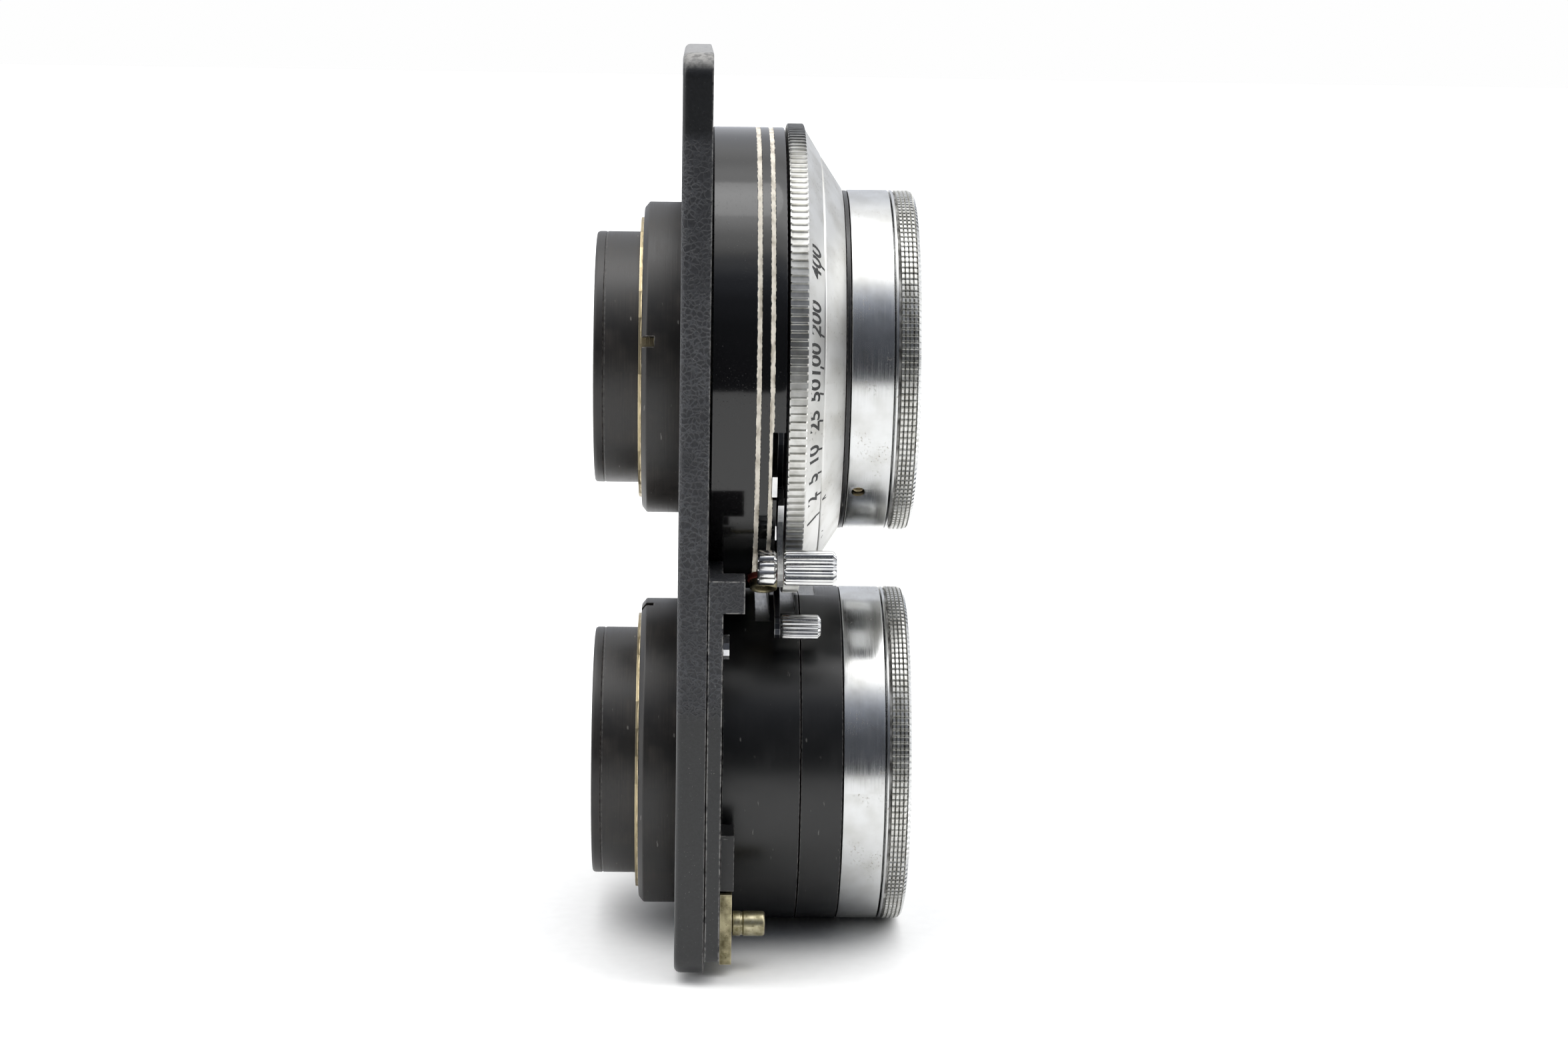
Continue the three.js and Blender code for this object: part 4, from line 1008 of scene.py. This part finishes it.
def makeScale():
    seam = spans["face_plate"][2] + 0.3
    work = bmesh.new()
    for text, angle, tick in scale["numbers"]:
        curve = bpy.data.curves.new("number", "FONT")
        curve.body = text
        curve.align_x = "CENTER"
        curve.size = scale["tall"] / 0.7
        curve.shear = scale["slant"]
        curve.extrude = 0.03
        curve.offset = scale["weight"]
        curve.resolution_u = 6
        drawing = bpy.data.objects.new("number", curve)
        bpy.context.scene.collection.objects.link(drawing)
        graph = bpy.context.evaluated_depsgraph_get()
        flat = bpy.data.meshes.new_from_object(drawing.evaluated_get(graph))
        narrow = scale["wide"] / (scale["tall"] * 0.86)
        for vertex in flat.vertices:
            u, v, w = vertex.co
            high = scale["rise"] if w > 0 else -0.05
            vertex.co = ontoCone(u * narrow, v + scale["gap"], high, angle, seam)
        work.from_mesh(flat)
        bpy.data.objects.remove(drawing)
        bpy.data.meshes.remove(flat)
    bmesh.ops.remove_doubles(work, verts=work.verts, dist=0.00001 * mm)
    mesh = bpy.data.meshes.new("speed_numbers")
    work.to_mesh(mesh)
    work.free()
    mesh.materials.append(scalePaint)
    numbers = bpy.data.objects.new("speed_numbers", mesh)
    bpy.context.scene.collection.objects.link(numbers)
    place(settle(numbers), "speed_ring", "shutter_enamel")

    points, faces = [], []
    for text, angle, tick in scale["numbers"]:
        inkLine(points, faces, (-0.1, 0.05), (0.1, scale["tick"]), scale["thick"], tick, seam)
    place(newPiece("speed_ticks", points, faces, [scalePaint]), "speed_ring", "shutter_enamel")

    points, faces = [], []
    edge = seam - 0.3
    tip, left, right = (0, -0.15), (-0.85, -2.6), (0.85, -2.6)
    for start, end in ((tip, left), (left, right), (right, tip)):
        inkLine(points, faces, start, end, scale["line"], scale["index"], edge)
    for start, end in (((-0.9, -0.5), (0.9, -2.2)), ((-0.9, -2.2), (0.9, -0.5))):
        inkLine(points, faces, start, end, scale["line"] * 0.8, scale["index"] - 17, edge)
    place(newPiece("scale_index", points, faces, [scalePaint]), "root", "shutter_enamel")


makeScale()
print("Speed scale made")


# ---- Levers and knobs ----

# each knob: number of flutes, their depth and the end chamfer
flutes = {"cocking_knob": (14, 0.3, 0.45), "cocking_rear_knob": (10, 0.22, 0.3),
          "release_knob": (16, 0.16, 0.35)}


# A fluted knob: rounded ribs with round valleys between them, and a chamfered end.
def makeKnob(node, name, body):
    back, front, radius = spans[node]
    centre = middle(node)
    count, depth, chamfer = flutes[node]
    outline = [(back, 0), (back, radius - 0.25), (back + 0.12, radius - 0.08), (back + 0.25, radius),
               (front - chamfer, radius), (front - chamfer * 0.3, radius - chamfer * 0.8),
               (front, radius - chamfer * 1.2), (front, 0)]

    def flute(x, reach, angle, j):
        if 1 < j < 6:
            wave = abs(math.sin(math.radians(angle) * count / 2))
            return x, reach - depth * (1 - wave)
        return x, reach

    piece = lathe(name, outline, (centre.y, centre.z), [leverChrome], count * 12, shape=flute, hard=38)
    place(piece, body, "chrome", node)


# The lever's hub stays black inside the shutter; only its arm and edge are plated.
def blackenHub(node):
    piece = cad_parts[node]
    piece.data.materials.append(bladeSteel)
    axis = Vector((0, axisHeight["taking"])) * mm
    reach = (spans["taking_front_ring"][2] + 1.0) * mm
    for face in piece.data.polygons:
        centre = piece.matrix_world @ face.center
        if (centre.yz - axis).length < reach:
            face.material_index = 1


makeKnob("cocking_knob", "fluted_cocking_knob", "cocking_lever")
makeKnob("cocking_rear_knob", "fluted_rear_knob", "cocking_lever")
makeKnob("release_knob", "fluted_release_knob", "release_lever")
dress("cocking_lever", leverChrome, edge=0.15)
blackenHub("cocking_lever")
dress("release_lever", bladeSteel, edge=0.12)
dress("sync_selector", leverChrome, edge=0.1)


flashSocket = {"radius": 1.65, "bush": 1.95, "pin": 0.38}


def makeFlashSocket():
    height = axisHeight["taking"]
    socket = middle("flash_socket")
    angle = -math.degrees(math.atan2(height - socket.z, -socket.y))
    caseRadius = spans["shutter_case"][2]
    inner, outer = caseRadius - 0.8, caseRadius + 1.5
    radius, wide, thin = flashSocket["radius"], flashSocket["bush"], flashSocket["pin"]
    ring = [(inner, radius - 0.5), (inner, radius), (outer - 0.12, radius), (outer, radius - 0.12),
            (outer, radius - 0.3), (outer - 0.18, radius - 0.5)]
    piece = radialPiece("coaxial_socket", eased(ring, 0.05), angle, socket.x, height, [agedBrass])
    place(piece, "root", "brass", "flash_socket")
    bush = [(inner - 0.4, 0.5), (inner - 0.4, wide), (caseRadius + 0.4, wide), (caseRadius + 0.5, 1.85),
            (caseRadius + 0.5, radius + 0.03), (inner - 0.02, radius + 0.03), (inner - 0.02, 0.5)]
    piece = radialPiece("fibre_bush", eased(bush, 0.05), angle, socket.x, height, [fibre])
    place(piece, "root", "fibre", "flash_insulator")
    pin = [(inner - 0.5, 0), (inner - 0.5, thin), (outer - 0.55, thin), (outer - 0.35, 0.2), (outer - 0.3, 0)]
    piece = radialPiece("contact_pin", pin, angle, socket.x, height, [turnedBrass])
    place(piece, "root", "brass", "flash_contact_pin")


makeFlashSocket()
print("Levers and socket made")


# ---- Viewing barrel ----

# flats: back and front of each from the case's front, and its depth
viewingBarrel = {"flats": [(-1.9, -0.2, 2.3), (0.6, 3.0, 1.6)], "rim": 5}


def makeViewingBarrel():
    height = axisHeight["viewing"]
    back, front, radius = spans["viewing_rear_barrel"]
    rim = viewingBarrel["rim"]
    bore = spans["viewing_mount_tube"][2] + 0.3
    outline = [(back, bore), (back, radius - 0.3), (back + 0.15, radius), (front - 0.05, radius),
               (front, radius - 0.08), (front, radius - rim), (back + 1.5, radius - rim), (back + 1.5, bore)]
    barrel = lathe("black_viewing_barrel", outline, (0, height), [barrelBlack, milledAluminium], 256,
                   pick=lambda x, r: 0)
    caseFront = spans["cocking_lever"][0] - 0.25
    tools = []
    for low, high, depth in viewingBarrel["flats"]:
        near = (caseFront + low, -radius - 1, radius - depth)
        far = (caseFront + high, radius + 1, radius + 2)
        tools.append(block(near, far, 0, (0, 0, height), milledAluminium))
    ringReach = spans["speed_ring"][2] + 0.4
    ringBack = spans["cocking_lever"][0] - 0.3
    path = [(ringBack, 0), (ringBack, ringReach), (front + 2, ringReach), (front + 2, 0)]
    tools.append(lathe("ringPath", path, (0, axisHeight["taking"]), [milledAluminium], 160))
    place(cut(barrel, tools), "root", "satin_black", "viewing_rear_barrel")

    back, front, radius = spans["viewing_middle_barrel"]
    outline = [(back, radius - rim), (back, radius - 0.08), (back + 0.05, radius), (front - 0.1, radius),
               (front, radius - 0.1), (front, radius - rim)]
    sleeve = lathe("black_viewing_sleeve", outline, (0, height), [barrelBlack, milledAluminium], 256,
                   pick=lambda x, r: 0)
    path = [(back - 2, 0), (back - 2, ringReach), (back + 2, ringReach), (back + 2, 0)]
    tool = lathe("ringPath", path, (0, axisHeight["taking"]), [milledAluminium], 160)
    place(cut(sleeve, [tool]), "root", "satin_black", "viewing_middle_barrel")


makeViewingBarrel()
print("Viewing barrel made")


# ---- Floor, light and camera ----

studio = {"floorGap": 0.02, "floorFront": -0.45, "floorSide": 2.0, "floorBack": 4.0,
          "boxWidth": 0.4, "boxDepth": 0.3, "boxHeight": 0.8, "boxRadiance": 1.4, "peak": 8.0,
          "room": [(0, 0.09), (20, 0.12), (33, 0.22), (44, 0.45), (54, 0.95), (66, 2.1), (80, 3.6), (92, 4.0),
                   (106, 2.3), (122, 1.4), (150, 1.0), (180, 0.85)],
          "shadeColour": "#dfe6f6", "lightColour": "#ffffff", "backColour": "#fefefe"}


def makeStudio():
    level = cadBox[0][2] - studio["floorGap"] * mm
    side, near, far = studio["floorSide"], studio["floorFront"], studio["floorBack"]
    corners = [(-side, near, level), (side, near, level), (side, far, level), (-side, far, level)]
    paper, tree, shader = newMaterial("whitePaper", "#f0f0ef", 0.0, 0.6)
    grain = patches(tree, placeOn(tree, False), 1.5, 0.3, 0.7)
    joinTo(tree, shader, {"Base Color": coat(tree, grain, "#f1f1f0", "#eeeeed")})
    floor = newPiece("paper_floor", [Vector(c) for c in corners], [(0, 1, 2, 3)], [paper])

    lamp = bpy.data.lights.new("overheadSoftbox", "AREA")
    lamp.shape = "ELLIPSE"
    lamp.size, lamp.size_y = studio["boxWidth"], studio["boxDepth"]
    lamp.energy = studio["boxRadiance"] * math.pi ** 2 / 4 * lamp.size * lamp.size_y
    holder = bpy.data.objects.new("overheadSoftbox", lamp)
    holder.location = (0.0, 0.0, studio["boxHeight"])
    bpy.context.scene.collection.objects.link(holder)

    # the room as the metal sees it, by the height above the horizon on the near side:
    # dim in front, a wide soft light overhead, pale paper behind
    world = bpy.data.worlds.new("studioRoom")
    world.use_nodes = True
    tree = world.node_tree
    tree.nodes.clear()
    where = addNode(tree, "TexCoord", output="Generated")
    across = addNode(tree, "SeparateXYZ", {0: where}).node.outputs
    nearer = addNode(tree, "Math", {"operation": "MULTIPLY", 0: across[1], 1: -1.0})
    height = addNode(tree, "Math", {"operation": "ARCTAN2", 0: across[2], 1: nearer})
    share = addNode(tree, "MapRange", {"Value": height, "From Min": 0.0, "From Max": math.pi})
    ramp = addNode(tree, "ValToRGB", {0: share})
    curve = ramp.node.color_ramp
    curve.interpolation = "EASE"
    marks, peak = curve.elements, studio["peak"]
    while len(marks) < len(studio["room"]):
        marks.new(0.5)
    for mark, (angle, level) in zip(marks, studio["room"]):
        mark.position = angle / 180
        mark.color = (level / peak, level / peak, level / peak, 1)
    bright = addNode(tree, "Math", {"operation": "MULTIPLY", 0: ramp, 1: peak})
    cool = addNode(tree, "MapRange", {"Value": bright, "From Min": 0.4, "From Max": 1.4})
    tint = coat(tree, cool, studio["shadeColour"], studio["lightColour"])
    room = addNode(tree, "Background", {"Color": tint, "Strength": bright})
    paper = addNode(tree, "Background", {"Color": toLinear(studio["backColour"]), "Strength": 1.0})
    direct = addNode(tree, "LightPath", output="Is Camera Ray")
    mixed = addNode(tree, "MixShader", {0: direct, 1: room, 2: paper})
    addNode(tree, "OutputWorld", {"Surface": mixed})
    bpy.context.scene.world = world
    bpy.context.scene.view_settings.view_transform = "Standard"


def makeCamera():
    view = {"place": (1.46, -372.06, 69.47), "yaw": 1.793, "pitch": -9.92, "roll": 0.935, "lens": 69.25}
    yaw, pitch, roll = (math.radians(view[key]) for key in ("yaw", "pitch", "roll"))
    ahead = Vector((math.sin(yaw) * math.cos(pitch), math.cos(yaw) * math.cos(pitch), math.sin(pitch)))
    right = Vector((math.cos(yaw), -math.sin(yaw), 0))
    up = right.cross(ahead)
    rightRolled = right * math.cos(roll) + up * math.sin(roll)
    upRolled = up * math.cos(roll) - right * math.sin(roll)
    camera = bpy.data.cameras.new("photographer")
    camera.lens = view["lens"]
    camera.sensor_width = 36
    camera.clip_start = 0.01
    holder = bpy.data.objects.new("photographer", camera)
    turn = Matrix((rightRolled, upRolled, -ahead)).transposed().to_4x4()
    holder.matrix_world = Matrix.Translation(Vector(view["place"]) * mm) @ turn
    bpy.context.scene.collection.objects.link(holder)
    bpy.context.scene.camera = holder


makeStudio()
makeCamera()
print("Studio made")
